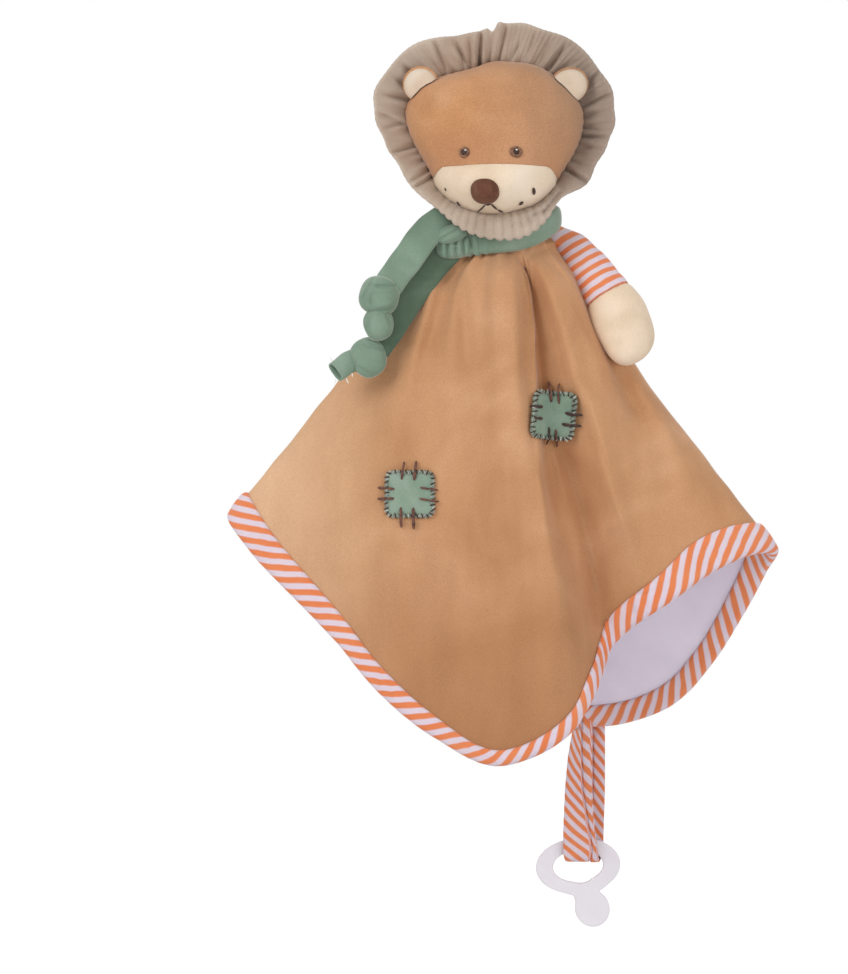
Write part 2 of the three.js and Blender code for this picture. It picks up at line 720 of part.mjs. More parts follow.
// Scarf: a loop round the neck, lowest in front, and two knotted ends at its left
const collarInset = velourThickness / 2 + threadDiameter + layerGap * 1.5;
const collarHalfWidth = neckHalfWidth + collarInset + scarfThickness / 2;
const collarHalfDepth = neckHalfDepth + collarInset + scarfThickness / 2;

function collarPoint(turn, lift = 0) {
  const slope = ((1 - Math.sin(radians(turn))) / 2) ** 2;
  const height = scarfFrontHeight + scarfRise * (1 - slope);
  return ringPoint(turn, collarHalfWidth + lift, collarHalfDepth + lift, height);
}

function scarfCollar() {
  const sections = Array.from({ length: 36 }, (_, k) => {
    const turn = k * 10;
    const outward = point(Math.cos(radians(turn)), Math.sin(radians(turn)), 0);
    const [halfThick, halfWide] = [scarfThickness / 2, scarfWidth / 2];
    return ellipseSection(collarPoint(turn), outward, point(0, 0, 1), halfThick, halfWide, 10);
  });
  return closedSweep(sections);
}

// A flat tube of cloth along a path, its wide side facing the viewer
function scarfTube(places, shares, count, steps) {
  const path = new THREE.CatmullRomCurve3(places, false, 'centripetal');
  const sections = Array.from({ length: steps + 1 }, (_, k) => {
    const along = path.getTangent(k / steps);
    const facing = point(0, -1, 0).addScaledVector(along, along.y).normalize();
    const across = along.clone().cross(facing);
    const at = (k / steps) * (shares.length - 1);
    const low = Math.min(Math.floor(at), shares.length - 2);
    const [wideShare, thickShare] = [0, 1].map((n) =>
      shares[low][n] + (shares[low + 1][n] - shares[low][n]) * (at - low));
    const [halfWide, halfThick] = [(tailWidth / 2) * wideShare, (tailThickness / 2) * thickShare];
    return ellipseSection(path.getPoint(k / steps), across, facing, halfWide, halfThick, count);
  });
  return openSweep(sections);
}

// Places of the scarf's ends, as shares of its width, from the collar's left side
const frontEndShares = {
  tail: [[0, 0, 0], [-1.03, -0.33, -0.43], [-1.87, -0.38, -1.57], [-2.22, -0.43, -2.0]],
  knot: [[-2.3, -0.46, -2.07], [-2.57, -0.62, -2.5], [-2.65, -0.62, -2.95], [-2.58, -0.58, -3.17]],
  tip: [[-2.56, -0.58, -3.28], [-2.55, -0.6, -3.6], [-2.54, -0.58, -3.98]],
};
const backEndShares = {
  tail: [[0, 0, 0], [-0.68, -0.08, -0.42], [-1.29, -0.08, -1.2], [-1.74, -0.04, -1.9], [-2.32, -0.17, -2.97]],
  knot: [[-2.34, -0.18, -3.0], [-2.59, -0.22, -3.5], [-2.72, -0.25, -3.95], [-2.79, -0.25, -4.35]],
  tip: [[-3.24, -0.22, -4.08], [-3.6, -0.19, -4.2], [-4.08, -0.16, -4.35]],
};
const tailShapeShares = [[0.85, 0.8], [1, 1], [1, 1], [0.8, 0.9]];
const knotShapeShares = [[0.75, 1], [1.3, 2.2], [1.15, 2], [0.7, 1.2]];
const tipShapeShares = [[0.65, 1], [0.95, 1.9], [0.55, 0.9]];
const frontTailTurn = 226;
const backTailTurn = 218;

function scarfEnd(name, turn, rise, tuck, places) {
  const lift = scarfThickness / 2 + tailThickness / 2 + layerGap - tuck;
  const start = collarPoint(turn, lift);
  start.z += rise;
  const along = (shares) => shares.map((place) => point(...place).multiplyScalar(tailWidth).add(start));
  addPiece(`${name}_scarf_tail`, scarfTube(along(places.tail), tailShapeShares, 8, 9), greenCloth);
  addPiece(`${name}_tail_knot`, scarfTube(along(places.knot), knotShapeShares, 10, 6), greenCloth);
  addPiece(`${name}_tail_tip`, scarfTube(along(places.tip), tipShapeShares, 10, 4), greenCloth);
}

function addScarf() {
  addPiece('scarf_collar', scarfCollar(), greenCloth);
  scarfEnd('front', frontTailTurn, frontTailRise, frontTailTuck, frontEndShares);
  scarfEnd('back', backTailTurn, -backTailDrop, backTailTuck, backEndShares);
}

// Arms: a striped sleeve and a plump hand over one filling. Stations run from the shoulder:
// place along the arm's three directions, half width and half thickness, as shares of the arm.
const armTurns = {
  right: { collarTurn: 0, tuckShare: 0.016, down: [0.497, -0.195, -0.846] },
  left: { collarTurn: 158, tuckShare: 0.006, down: [-0.1, 0.66, -0.74] },
};
const sleeveShares = [[0.0, 0.066, 0.03], [0.12, 0.095, 0.065], [0.3, 0.122, 0.1], [0.5, 0.142, 0.125]];
const handShares = [
  [0.505, 0.14, 0.123], [0.58, 0.155, 0.13], [0.7, 0.17, 0.145], [0.81, 0.152, 0.125], [0.89, 0.105, 0.085],
  [0.925, 0.05, 0.04],
];
const armBendShare = 0.05;

function armSections(side, stations, inset) {
  const { collarTurn, tuckShare, down } = armTurns[side];
  const direction = point(...down).normalize();
  const startShare = sleeveShares[0][1] * Math.abs(direction.z) - tuckShare;
  const lift = scarfThickness / 2 + layerGap + startShare * armLength;
  const pivot = collarPoint(collarTurn, lift);
  pivot.z = armPivotHeight;
  const across = side === 'right'
    ? point(-direction.z, 0, direction.x).normalize()
    : point(0, 0, 1).cross(direction).normalize();
  const through = direction.clone().cross(across);
  return stations.map(([place, halfAcross, halfThrough]) => {
    const bend = Math.sin(place * Math.PI) * armBendShare * armLength;
    const centre = pivot.clone().addScaledVector(direction, place * armLength);
    if (side === 'right') {
      centre.addScaledVector(across, bend);
    }
    const wide = Math.max(halfAcross * armLength - inset, layerGap);
    const thick = Math.max(halfThrough * armLength - inset, layerGap);
    return ellipseSection(centre, across, through, wide, thick, 12);
  });
}

// A cup of cloth: its outside sections out and its inside sections back
function clothCup(side, stations, innerStations) {
  const outside = armSections(side, stations, 0);
  const inside = armSections(side, innerStations, skinThickness).reverse();
  return openSweep([...outside, ...inside]);
}

function addArm(side) {
  const skinShare = skinThickness / armLength;
  const [[firstPlace, ...firstHalves], ...others] = sleeveShares;
  const sleeveInside = [[firstPlace + skinShare, ...firstHalves], ...others];
  addPiece(`${side}_sleeve`, clothCup(side, sleeveShares, sleeveInside), stripeCloth);
  const handOutside = [...handShares].reverse();
  const tip = handShares[handShares.length - 1];
  const handInside = [[tip[0] - skinShare * 1.5, ...tip.slice(1)], ...handOutside.slice(1)];
  addPiece(`${side}_hand`, clothCup(side, handOutside, handInside), creamCloth);
  const fillingStations = [...sleeveInside, ...handShares.slice(1)].map(([place, ...halves]) => {
    const pull = (place - 0.5) * 2 * (skinShare * 2);
    return [place - pull, ...halves];
  });
  const filling = armSections(side, fillingStations, skinThickness + layerGap);
  addPiece(`${side}_arm_stuffing`, openSweep(filling), '#f4f2ee');
}

// Strap: a flat strip that goes down in front, under the ring's upper band and up behind
const ringBandHalf = ringThickness / 2;
const cornerHem = clothPoint(strapCornerRay, hemRow, (liningInside) / 2);
const bindingReach = (bindingThickness + layerGap) * slantOf(90);
const strapTop = cornerHem.z - bindingReach - layerGap * 4;
const strapX = cornerHem.x;
const strapY = cornerHem.y;
const loopInside = ringBandHalf + strapEase;
const loopMiddle = strapTop - strapDrop + loopInside;
const loopX = strapX - strapLean;

function ringStrap() {
  const half = strapThickness / 2;
  const spread = loopInside + half;
  const closed = half + layerGap / 2;
  const side = [[0, closed], [0.12, closed], [0.45, closed + (spread - closed) * 0.35], [0.85, spread]];
  const height = strapTop - loopMiddle;
  const ply = (turned) => side.map(([share, out]) =>
    point(strapX - share * strapLean, strapY + turned * out, strapTop - share * height));
  const bottom = Array.from({ length: 7 }, (_, k) => {
    const angle = (k * Math.PI) / 6;
    return point(loopX, strapY - spread * Math.cos(angle), loopMiddle - spread * Math.sin(angle));
  });
  const front = ply(-1);
  const back = ply(1).reverse();
  const route = [...front, ...bottom, ...back];
  const sections = route.map((place, k) => {
    const before = route[Math.max(k - 1, 0)];
    const after = route[Math.min(k + 1, route.length - 1)];
    const along = after.clone().sub(before).normalize();
    const out = along.clone().cross(point(1, 0, 0));
    const across = point(strapWidth / 2, 0, 0);
    return [
      place.clone().add(across).addScaledVector(out, half),
      place.clone().sub(across).addScaledVector(out, half),
      place.clone().sub(across).addScaledVector(out, -half),
      place.clone().add(across).addScaledVector(out, -half),
    ];
  });
  return openSweep(sections);
}

function strapBarTack() {
  const front = strapY - strapThickness - layerGap * 1.5;
  const top = strapTop - layerGap * 2;
  const low = point(strapX - barTackWidth / 2, front - barTackThickness, top - barTackHeight);
  const high = point(strapX + barTackWidth / 2, front, top);
  return geometryOf(boxSolid(low, high));
}

// Ring: an oval band of flattened section with a rounded tab below, moulded as one
const ringTilt = 5;
const ringShiftShare = 0.045;
const bandDropShare = 0.12;
const tabPlaceShare = 0.3;
const tabSinkShare = 0.083;
const tabTilt = 17;

function pacifierRing() {
  const [outerHalf, outerRise] = [ringWidth / 2, ringHeight / 2];
  const [innerHalf, innerRise] = [ringHoleWidth / 2, ringHoleHeight / 2];
  const sections = Array.from({ length: 40 }, (_, k) => {
    const turn = k * 9;
    const outer = point(outerHalf * Math.cos(radians(turn)), 0, outerRise * Math.sin(radians(turn)));
    const inner = point(innerHalf * Math.cos(radians(turn)), 0, innerRise * Math.sin(radians(turn)));
    const out = outer.clone().sub(inner);
    const half = out.length() / 2;
    out.normalize();
    return ellipseSection(outer.lerp(inner, 0.5), out, point(0, 1, 0), half, ringThickness / 2, 8);
  });
  const band = solidOf(closedSweep(sections));
  const [tabX, tabZ] = [tabPlaceShare * outerHalf, tabSinkShare * tabLength - tabLength / 2 - outerRise];
  const shape = new THREE.Shape();
  shape.absellipse(0, 0, tabWidth / 2, tabLength / 2, 0, Math.PI * 2, false, 0);
  const sweep = { depth: tabThickness, bevelEnabled: false, curveSegments: 24 };
  const tab = new THREE.ExtrudeGeometry(shape, sweep);
  tab.translate(0, 0, -tabThickness / 2);
  tab.rotateZ(radians(tabTilt));
  tab.rotateX(Math.PI / 2);
  tab.translate(tabX, 0, tabZ);
  const position = tab.getAttribute('position');
  tab.setIndex(Array.from({ length: position.count }, (_, k) => k));
  const hole = ellipsoid(point(0, 0, 0), ringHoleWidth, cutOverrun, ringHoleHeight);
  const ring = geometryOf(band.add(mergedSolid(tab).subtract(mergedSolid(hole))));
  ring.rotateY(-radians(ringTilt));
  const bandRise = (outerRise + innerRise) / 2;
  const ringCentreZ = loopMiddle + bandDropShare * ringHeight - bandRise;
  ring.translate(loopX - ringShiftShare * ringWidth, strapY, ringCentreZ);
  return ring;
}

function addStrapAndRing() {
  addPiece('ring_strap', ringStrap(), stripeCloth);
  addPiece('strap_bar_tack', strapBarTack(), brownThread);
  addPiece('pacifier_ring', pacifierRing(), '#e4dfe6', 0.45);
}

addBlanket();
addNeck();
addScarf();
addHeadSkin();
addPiece('mane_ruffle', maneRuffle(), maneCloth);
addEar('left');
addEar('right');
addFace();
addArm('left');
addArm('right');
addStrapAndRing();

export default group;
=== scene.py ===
import math

import bmesh
import bpy
import numpy as np
from mathutils import Matrix, Vector
from mathutils.bvhtree import BVHTree


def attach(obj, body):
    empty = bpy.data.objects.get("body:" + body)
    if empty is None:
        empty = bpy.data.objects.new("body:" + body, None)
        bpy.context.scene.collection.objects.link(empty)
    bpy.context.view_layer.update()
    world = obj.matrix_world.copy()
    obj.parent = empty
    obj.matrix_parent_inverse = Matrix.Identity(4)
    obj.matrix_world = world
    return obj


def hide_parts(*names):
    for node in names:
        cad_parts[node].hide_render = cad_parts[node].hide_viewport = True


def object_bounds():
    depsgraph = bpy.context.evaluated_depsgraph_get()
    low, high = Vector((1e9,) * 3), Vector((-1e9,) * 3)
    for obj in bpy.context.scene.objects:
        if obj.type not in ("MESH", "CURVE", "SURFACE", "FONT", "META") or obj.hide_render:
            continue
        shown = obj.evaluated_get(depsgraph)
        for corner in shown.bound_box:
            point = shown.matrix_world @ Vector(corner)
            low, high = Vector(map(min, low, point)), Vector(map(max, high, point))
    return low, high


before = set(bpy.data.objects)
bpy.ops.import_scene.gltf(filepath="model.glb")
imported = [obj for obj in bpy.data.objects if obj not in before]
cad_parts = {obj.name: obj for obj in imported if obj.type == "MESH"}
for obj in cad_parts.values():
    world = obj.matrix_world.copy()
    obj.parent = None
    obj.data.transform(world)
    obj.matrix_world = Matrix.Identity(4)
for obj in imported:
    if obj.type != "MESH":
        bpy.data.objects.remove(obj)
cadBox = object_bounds()

# Lengths are in millimetres until a mesh is written; the row frame is in metres
metre = 0.001

# Camera, lamps, floor
studio = {
    "cameraX": -30.4, "cameraZ": -99.6, "cameraDistance": 1800, "viewHeight": 389.6,
    "photoMiddle": (424, 487), "pixel": 0.4, "floorDrop": 70, "floorSize": 3400,
    "floorGlow": 0.66, "ambient": 0.56, "keyPower": 8.8, "fillPower": 3.6, "topPower": 3.0,
    "lowPower": 1.5,
}


def photoPlace(points):
    # where the camera sees each point, in pixels of the photograph
    reach = studio["cameraDistance"] / (studio["cameraDistance"] + points[..., 1])
    across = (points[..., 0] - studio["cameraX"]) * reach / studio["pixel"]
    up = (points[..., 2] - studio["cameraZ"]) * reach / studio["pixel"]
    return studio["photoMiddle"][0] + across, studio["photoMiddle"][1] - up


def fromPhoto(px, py, depth):
    # the place at a depth that the camera sees at a pixel of the photograph
    reach = (studio["cameraDistance"] + depth) / studio["cameraDistance"] * studio["pixel"]
    x = studio["cameraX"] + (px - studio["photoMiddle"][0]) * reach
    return np.array([x, depth, studio["cameraZ"] - (py - studio["photoMiddle"][1]) * reach])


def photoPaths(points):
    return [fromPhoto(*point) for point in points]


# Relief along short lines of the photograph: outer end, inner end, depth; a ridge has a depth
# below nought
def creaseRelief(points, lines, core=1.8, shoulder=0.4, spread=3.2, rest=5.5):
    px, py = photoPlace(points)
    here = np.stack([px, py], -1)
    push = np.zeros(px.shape)
    for outX, outY, inX, inY, depth in lines:
        low, way = np.array([inX, inY], float), np.array([outX - inX, outY - inY], float)
        t = ((here - low) @ way) / (way @ way)
        away = (way[0] * (py - inY) - way[1] * (px - inX)) / np.linalg.norm(way)
        taper = smoothStep(t, -0.35, 0.1) * smoothStep(1.25 - t, 0, 0.45)
        swell = np.exp(-((np.abs(away) - rest) / spread) ** 2)
        push += depth * taper * (np.exp(-(away / core) ** 2) - shoulder * swell)
    return push


def addCamera():
    data = bpy.data.cameras.new("frontCamera")
    data.sensor_fit = "VERTICAL"
    data.sensor_height = 36
    data.lens = 36 * studio["cameraDistance"] / studio["viewHeight"]
    data.clip_end = 50
    camera = bpy.data.objects.new("frontCamera", data)
    place = (studio["cameraX"], -studio["cameraDistance"], studio["cameraZ"])
    camera.location = Vector(place) * metre
    camera.rotation_euler = (math.radians(90), 0, 0)
    bpy.context.scene.collection.objects.link(camera)
    bpy.context.scene.camera = camera
    return camera


def addLamp(name, place, target, size, power):
    data = bpy.data.lights.new(name, "AREA")
    data.shape = "DISK"
    data.size = size
    data.energy = power
    lamp = bpy.data.objects.new(name, data)
    lamp.location = place
    aim = Vector(target) - Vector(place)
    lamp.rotation_euler = aim.to_track_quat("-Z", "Y").to_euler()
    bpy.context.scene.collection.objects.link(lamp)
    return lamp


def addWorld():
    world = bpy.data.worlds.new("whiteStudio")
    bpy.context.scene.world = world
    world.use_nodes = True
    nodes, links = world.node_tree.nodes, world.node_tree.links
    nodes.clear()
    path = nodes.new("ShaderNodeLightPath")
    white = nodes.new("ShaderNodeBackground")
    white.inputs["Color"].default_value = (1, 1, 1, 1)
    soft = nodes.new("ShaderNodeBackground")
    soft.inputs["Color"].default_value = (1, 0.99, 0.975, 1)
    soft.inputs["Strength"].default_value = studio["ambient"]
    mix = nodes.new("ShaderNodeMixShader")
    out = nodes.new("ShaderNodeOutputWorld")
    seen = nodes.new("ShaderNodeMath")
    seen.operation = "MAXIMUM"
    links.new(path.outputs["Is Camera Ray"], seen.inputs[0])
    links.new(path.outputs["Is Glossy Ray"], seen.inputs[1])
    links.new(seen.outputs[0], mix.inputs[0])
    links.new(soft.outputs[0], mix.inputs[1])
    links.new(white.outputs[0], mix.inputs[2])
    links.new(mix.outputs[0], out.inputs[0])


def addFloor():
    bpy.ops.object.select_all(action="DESELECT")
    lowest = cadBox[0][2] - studio["floorDrop"] * metre
    bpy.ops.mesh.primitive_plane_add(size=studio["floorSize"] * metre, location=(0, 0.2, lowest))
    floor = bpy.context.object
    floor.name = "paleFloor"
    material = bpy.data.materials.new("paleFloor")
    material.use_nodes = True
    nodes, links = material.node_tree.nodes, material.node_tree.links
    shader = nodes["Principled BSDF"]
    shader.inputs["Base Color"].default_value = (0.82, 0.82, 0.82, 1)
    shader.inputs["Roughness"].default_value = 0.9
    shader.inputs["Specular IOR Level"].default_value = 0.0
    glow = nodes.new("ShaderNodeEmission")
    glow.inputs["Strength"].default_value = studio["floorGlow"]
    path = nodes.new("ShaderNodeLightPath")
    held = nodes.new("ShaderNodeMixShader")
    none = nodes.new("ShaderNodeEmission")
    none.inputs["Strength"].default_value = 0.0
    total = nodes.new("ShaderNodeAddShader")
    links.new(path.outputs["Is Camera Ray"], held.inputs[0])
    links.new(none.outputs[0], held.inputs[1])
    links.new(glow.outputs[0], held.inputs[2])
    links.new(shader.outputs[0], total.inputs[0])
    links.new(held.outputs[0], total.inputs[1])
    links.new(total.outputs[0], nodes["Material Output"].inputs["Surface"])
    floor.data.materials.append(material)


addCamera()
addWorld()
addFloor()
addLamp("keyLamp", (-1.0, -1.0, 0.6), (0, 0, -0.08), 0.9, studio["keyPower"])
addLamp("fillLamp", (0.95, -1.0, 0.1), (0, 0, -0.1), 1.0, studio["fillPower"])
addLamp("lowLamp", (0.45, -1.25, -0.2), (0.02, 0, -0.2), 0.5, studio["lowPower"])
addLamp("topLamp", (0.1, 0.55, 1.1), (0, 0, -0.05), 0.9, studio["topPower"])
bpy.context.scene.view_settings.view_transform = "Standard"
print("studio: camera, lamps and floor are set")


# Meshes

def pieceFrom(name, points, faces, material, cornerUv=None):
    mesh = bpy.data.meshes.new(name)
    mesh.from_pydata((np.asarray(points, float) * metre).tolist(), [], [tuple(f) for f in faces])
    if cornerUv is not None:
        layer = mesh.uv_layers.new(name="flatCloth")
        layer.data.foreach_set("uv", np.asarray(cornerUv, float).reshape(-1))
    mesh.materials.append(material)
    mesh.polygons.foreach_set("use_smooth", [True] * len(mesh.polygons))
    piece = bpy.data.objects.new(name, mesh)
    bpy.context.scene.collection.objects.link(piece)
    faceOutwards(piece)
    return piece


def faceOutwards(piece):
    work = bmesh.new()
    work.from_mesh(piece.data)
    bmesh.ops.recalc_face_normals(work, faces=work.faces)
    work.to_mesh(piece.data)
    work.free()


def gridFaces(n, m, round_, section):
    i = np.arange(n if round_ else n - 1)
    j = np.arange(m if section else m - 1)
    across, down = np.meshgrid(i, j, indexing="ij")
    across, down = across.ravel(), down.ravel()
    nextAcross, nextDown = (across + 1) % n, (down + 1) % m
    faces = np.stack([across * m + down, nextAcross * m + down, nextAcross * m + nextDown,
                      across * m + nextDown], -1)
    corners = [(across, down), (across + 1, down), (across + 1, down + 1), (across, down + 1)]
    return faces, corners


# A piece from a grid of points; uv has one more row or column where the grid closes
def gridPiece(name, grid, material, closedRound=True, closedSection=False, uv=None, capped=False):
    grid = np.asarray(grid, float)
    n, m = grid.shape[:2]
    faces, corners = gridFaces(n, m, closedRound, closedSection)
    cornerUv = None
    if uv is not None:
        uv = np.asarray(uv, float)
        cornerUv = np.stack([uv[a, d] for a, d in corners], 1).reshape(-1, 2)
    points = grid.reshape(-1, 3)
    faces = faces.tolist()
    if capped:
        points = np.concatenate([points, grid[:1].mean(1), grid[-1:].mean(1)])
        for first, centre in ((0, n * m), ((n - 1) * m, n * m + 1)):
            for k in range(m):
                faces.append([centre, first + k, first + (k + 1) % m])
                if cornerUv is not None:
                    edge = 0 if first == 0 else n - 1
                    cap = [uv[edge, :-1].mean(0), uv[edge, k], uv[edge, k + 1]]
                    cornerUv = np.concatenate([cornerUv, np.array(cap)])
    return pieceFrom(name, points, faces, material, cornerUv)


def settle(piece, body, slotName, *nodes):
    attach(piece, body)
    if nodes:
        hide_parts(*nodes)
    return piece


def unit(vectors):
    return vectors / np.maximum(np.linalg.norm(vectors, axis=-1, keepdims=True), 1e-9)


def smoothStep(value, low, high):
    t = np.clip((value - low) / (high - low), 0, 1)
    return t * t * (3 - 2 * t)


def ripple(points, pitch, seed):
    # soft repeatable unevenness, about -1 to 1
    random = np.random.default_rng(seed)
    total = 0
    for _ in range(9):
        direction = random.normal(size=3)
        direction /= np.linalg.norm(direction)
        wave = 2 * math.pi / (pitch * random.uniform(0.7, 1.6))
        total = total + np.sin(points @ direction * wave + random.uniform(0, 6.28))
    return total / 4.5


# Materials

def startMaterial(name, roughness, sheen=0.0, sheenTint=(1, 1, 1), sheenRoughness=0.4, specular=0.3):
    material = bpy.data.materials.new(name)
    material.use_nodes = True
    shader = material.node_tree.nodes["Principled BSDF"]
    shader.inputs["Roughness"].default_value = roughness
    shader.inputs["Specular IOR Level"].default_value = specular
    shader.inputs["Sheen Weight"].default_value = sheen
    shader.inputs["Sheen Roughness"].default_value = sheenRoughness
    shader.inputs["Sheen Tint"].default_value = (*sheenTint, 1)
    return material, shader


def addNode(material, kind, **inputs):
    node = material.node_tree.nodes.new(kind)
    for name, value in inputs.items():
        node.inputs[name].default_value = value
    return node


def join(material, start, end):
    material.node_tree.links.new(start, end)


def linear(red, green, blue):
    def straight(value):
        value /= 255
        return value / 12.92 if value <= 0.04045 else ((value + 0.055) / 1.055) ** 2.4
    return straight(red), straight(green), straight(blue), 1


def objectCoordinates(material):
    return addNode(material, "ShaderNodeTexCoord").outputs["Object"]


def noiseAt(material, coordinates, scale, detail=2.0, roughness=0.5, distortion=0.0):
    node = addNode(material, "ShaderNodeTexNoise", Scale=scale, Detail=detail,
                   Roughness=roughness, Distortion=distortion)
    join(material, coordinates, node.inputs["Vector"])
    return node.outputs["Fac"]


def rampOf(material, value, stops):
    node = addNode(material, "ShaderNodeValToRGB")
    ramp = node.color_ramp
    while len(ramp.elements) < len(stops):
        ramp.elements.new(0.5)
    for element, (place, colour) in zip(ramp.elements, stops):
        element.position = place
        element.color = colour
    join(material, value, node.inputs["Fac"])
    return node.outputs["Color"]


def blendColours(material, amount, first, second, kind="MIX"):
    node = addNode(material, "ShaderNodeMix")
    node.data_type = "RGBA"
    node.blend_type = kind
    sockets = {"Factor": node.inputs[0], "A": node.inputs[6], "B": node.inputs[7]}
    for key, value in (("Factor", amount), ("A", first), ("B", second)):
        if isinstance(value, bpy.types.NodeSocket):
            join(material, value, sockets[key])
        else:
            sockets[key].default_value = value
    return node.outputs[2]


def mathOf(material, operation, first, second=0.0, third=0.0):
    node = addNode(material, "ShaderNodeMath")
    node.operation = operation
    for k, value in enumerate((first, second, third)):
        if isinstance(value, bpy.types.NodeSocket):
            join(material, value, node.inputs[k])
        else:
            node.inputs[k].default_value = value
    return node.outputs[0]


def bumpOf(material, shader, height, distance, strength=1.0, under=None):
    node = addNode(material, "ShaderNodeBump", Strength=strength, Distance=distance)
    join(material, height, node.inputs["Height"])
    if under is not None:
        join(material, under, node.inputs["Normal"])
    join(material, node.outputs["Normal"], shader.inputs["Normal"])
    return node.outputs["Normal"]


# Painted light and shade: the colour drifts along an axis to a lighter or darker tone where the lamps
# light that side more or less; axis, start, end in millimetres, colour at the end
def paintedLightAndShade(material, where, colour, paintedShading):
    for axis, start, end, tint in paintedShading:
        place = addNode(material, "ShaderNodeSeparateXYZ")
        join(material, where, place.inputs[0])
        share = mathOf(material, "MULTIPLY_ADD", place.outputs[axis], 1 / (end - start) / metre,
                       -start / (end - start))
        share = mathOf(material, "MINIMUM", mathOf(material, "MAXIMUM", share, 0.0), 1.0)
        colour = blendColours(material, share, colour, linear(*tint))
    return colour


# Short dense pile: soft patches where it lies another way, fine fuzz, light at the edges
def velour(name, tones, patchSize, sheen, sheenTint, fuzz=0.16, paintedShading=()):
    dark, middle, light = tones
    material, shader = startMaterial(name, 0.92, sheen, sheenTint, 0.35, 0.12)
    where = objectCoordinates(material)
    patches = noiseAt(material, where, 1 / (patchSize * metre), 2.5, 0.55, 0.6)
    colour = rampOf(material, patches, [(0.32, linear(*dark)), (0.5, linear(*middle)),
                                        (0.68, linear(*light))])
    # painted light and shade: the tone drifts lighter or darker across the piece
    colour = paintedLightAndShade(material, where, colour, paintedShading)
    # brushed pile: soft streaks that run down the cloth
    longer = addNode(material, "ShaderNodeVectorMath")
    longer.operation = "MULTIPLY"
    join(material, where, longer.inputs[0])
    longer.inputs[1].default_value = (1, 1, 0.24)
    streaks = noiseAt(material, longer.outputs[0], 1 / (11 * metre), 2.0)
    shade = rampOf(material, streaks, [(0.3, (0.9, 0.885, 0.87, 1)), (0.68, (1, 1, 1, 1))])
    colour = blendColours(material, 1.0, colour, shade, "MULTIPLY")
    pile = noiseAt(material, where, 1 / (0.55 * metre), 3.0, 0.65)
    shade = rampOf(material, pile, [(0.25, (1 - fuzz, 1 - fuzz, 1 - fuzz, 1)),
                                    (0.75, (1 + fuzz, 1 + fuzz, 1 + fuzz, 1))])
    join(material, blendColours(material, 1.0, colour, shade, "MULTIPLY"), shader.inputs["Base Color"])
    mottle = noiseAt(material, where, 1 / (2.6 * metre), 2.0, 0.6)
    height = mathOf(material, "ADD", mathOf(material, "MULTIPLY", pile, 0.35), mottle)
    bumpOf(material, shader, height, 0.2 * metre, 0.55)
    return material


# Smooth knitted jersey: rows of small loops along the piece's own flat coordinates
def knitHeight(material, flat, loopWidth, loopHeight):
    parts = addNode(material, "ShaderNodeSeparateXYZ")
    join(material, flat, parts.inputs[0])
    across = mathOf(material, "MULTIPLY", parts.outputs["X"], 2 * math.pi / loopWidth)
    along = mathOf(material, "MULTIPLY", parts.outputs["Y"], 2 * math.pi / loopHeight)
    column = mathOf(material, "SINE", across)
    bend = mathOf(material, "MULTIPLY", mathOf(material, "ABSOLUTE", column), 1.6)
    row = mathOf(material, "SINE", mathOf(material, "ADD", along, bend))
    return mathOf(material, "MULTIPLY_ADD", row, 0.5, mathOf(material, "ABSOLUTE", column))


def flatCoordinates(material):
    node = addNode(material, "ShaderNodeUVMap")
    node.uv_map = "flatCloth"
    return node.outputs["UV"]


# Striped jersey: x runs along the piece and y across it, in metres on the flat cloth
stripes = {
    "orange": (232, 124, 74), "orangeLight": (240, 148, 98), "lilac": (226, 212, 230),
    "lilacWarm": (232, 214, 220), "loop": 0.55, "wobble": 0.35,
}


def stripedJersey(name, period, orangeShare, slant, flip=1.0):
    material, shader = startMaterial(name, 0.85, 0.25, (1, 0.95, 0.95), 0.5, 0.2)
    flat = flatCoordinates(material)
    parts = addNode(material, "ShaderNodeSeparateXYZ")
    join(material, flat, parts.inputs[0])
    slope = math.tan(math.radians(slant))
    measure = mathOf(material, "MULTIPLY_ADD", parts.outputs["Y"], -slope * flip, parts.outputs["X"])
    wobble = noiseAt(material, objectCoordinates(material), 1 / (9 * metre), 1.0)
    shift = mathOf(material, "MULTIPLY", mathOf(material, "SUBTRACT", wobble, 0.5),
                   stripes["wobble"] * 4 * metre)
    measure = mathOf(material, "ADD", measure, shift)
    step = period * metre / math.cos(math.radians(slant))
    place = mathOf(material, "FRACT", mathOf(material, "DIVIDE", measure, step))
    fromMiddle = mathOf(material, "ABSOLUTE", mathOf(material, "SUBTRACT", place, 0.5))
    edge = orangeShare / 2
    mask = mathOf(material, "MULTIPLY_ADD", fromMiddle, -9.0, edge * 9.0 + 0.5)
    mask = mathOf(material, "MINIMUM", mathOf(material, "MAXIMUM", mask, 0.0), 1.0)
    tint = noiseAt(material, objectCoordinates(material), 1 / (14 * metre), 2.0)
    orange = blendColours(material, tint, linear(*stripes["orange"]), linear(*stripes["orangeLight"]))
    lilac = blendColours(material, tint, linear(*stripes["lilac"]), linear(*stripes["lilacWarm"]))
    join(material, blendColours(material, mask, lilac, orange), shader.inputs["Base Color"])
    loop = stripes["loop"] * metre
    bumpOf(material, shader, knitHeight(material, flat, loop, loop * 0.8), 0.12 * metre, 0.5)
    return material


def plainJersey(name, colour, shade, backing=None):
    material, shader = startMaterial(name, 0.8, 0.2, (0.95, 0.92, 1), 0.5, 0.2)
    patches = noiseAt(material, objectCoordinates(material), 1 / (30 * metre), 2.0)
    tone = rampOf(material, patches, [(0.35, linear(*shade)), (0.65, linear(*colour))])
    if backing:
        # the face that lies against the velour has fluff of its colour on it
        side = addNode(material, "ShaderNodeAttribute")
        side.attribute_name = "hiddenFace"
        tone = blendColours(material, side.outputs["Fac"], tone, linear(*backing))
    join(material, tone, shader.inputs["Base Color"])
    flat = flatCoordinates(material)
    bumpOf(material, shader, knitHeight(material, flat, 0.6 * metre, 0.5 * metre), 0.1 * metre, 0.4)
    return material


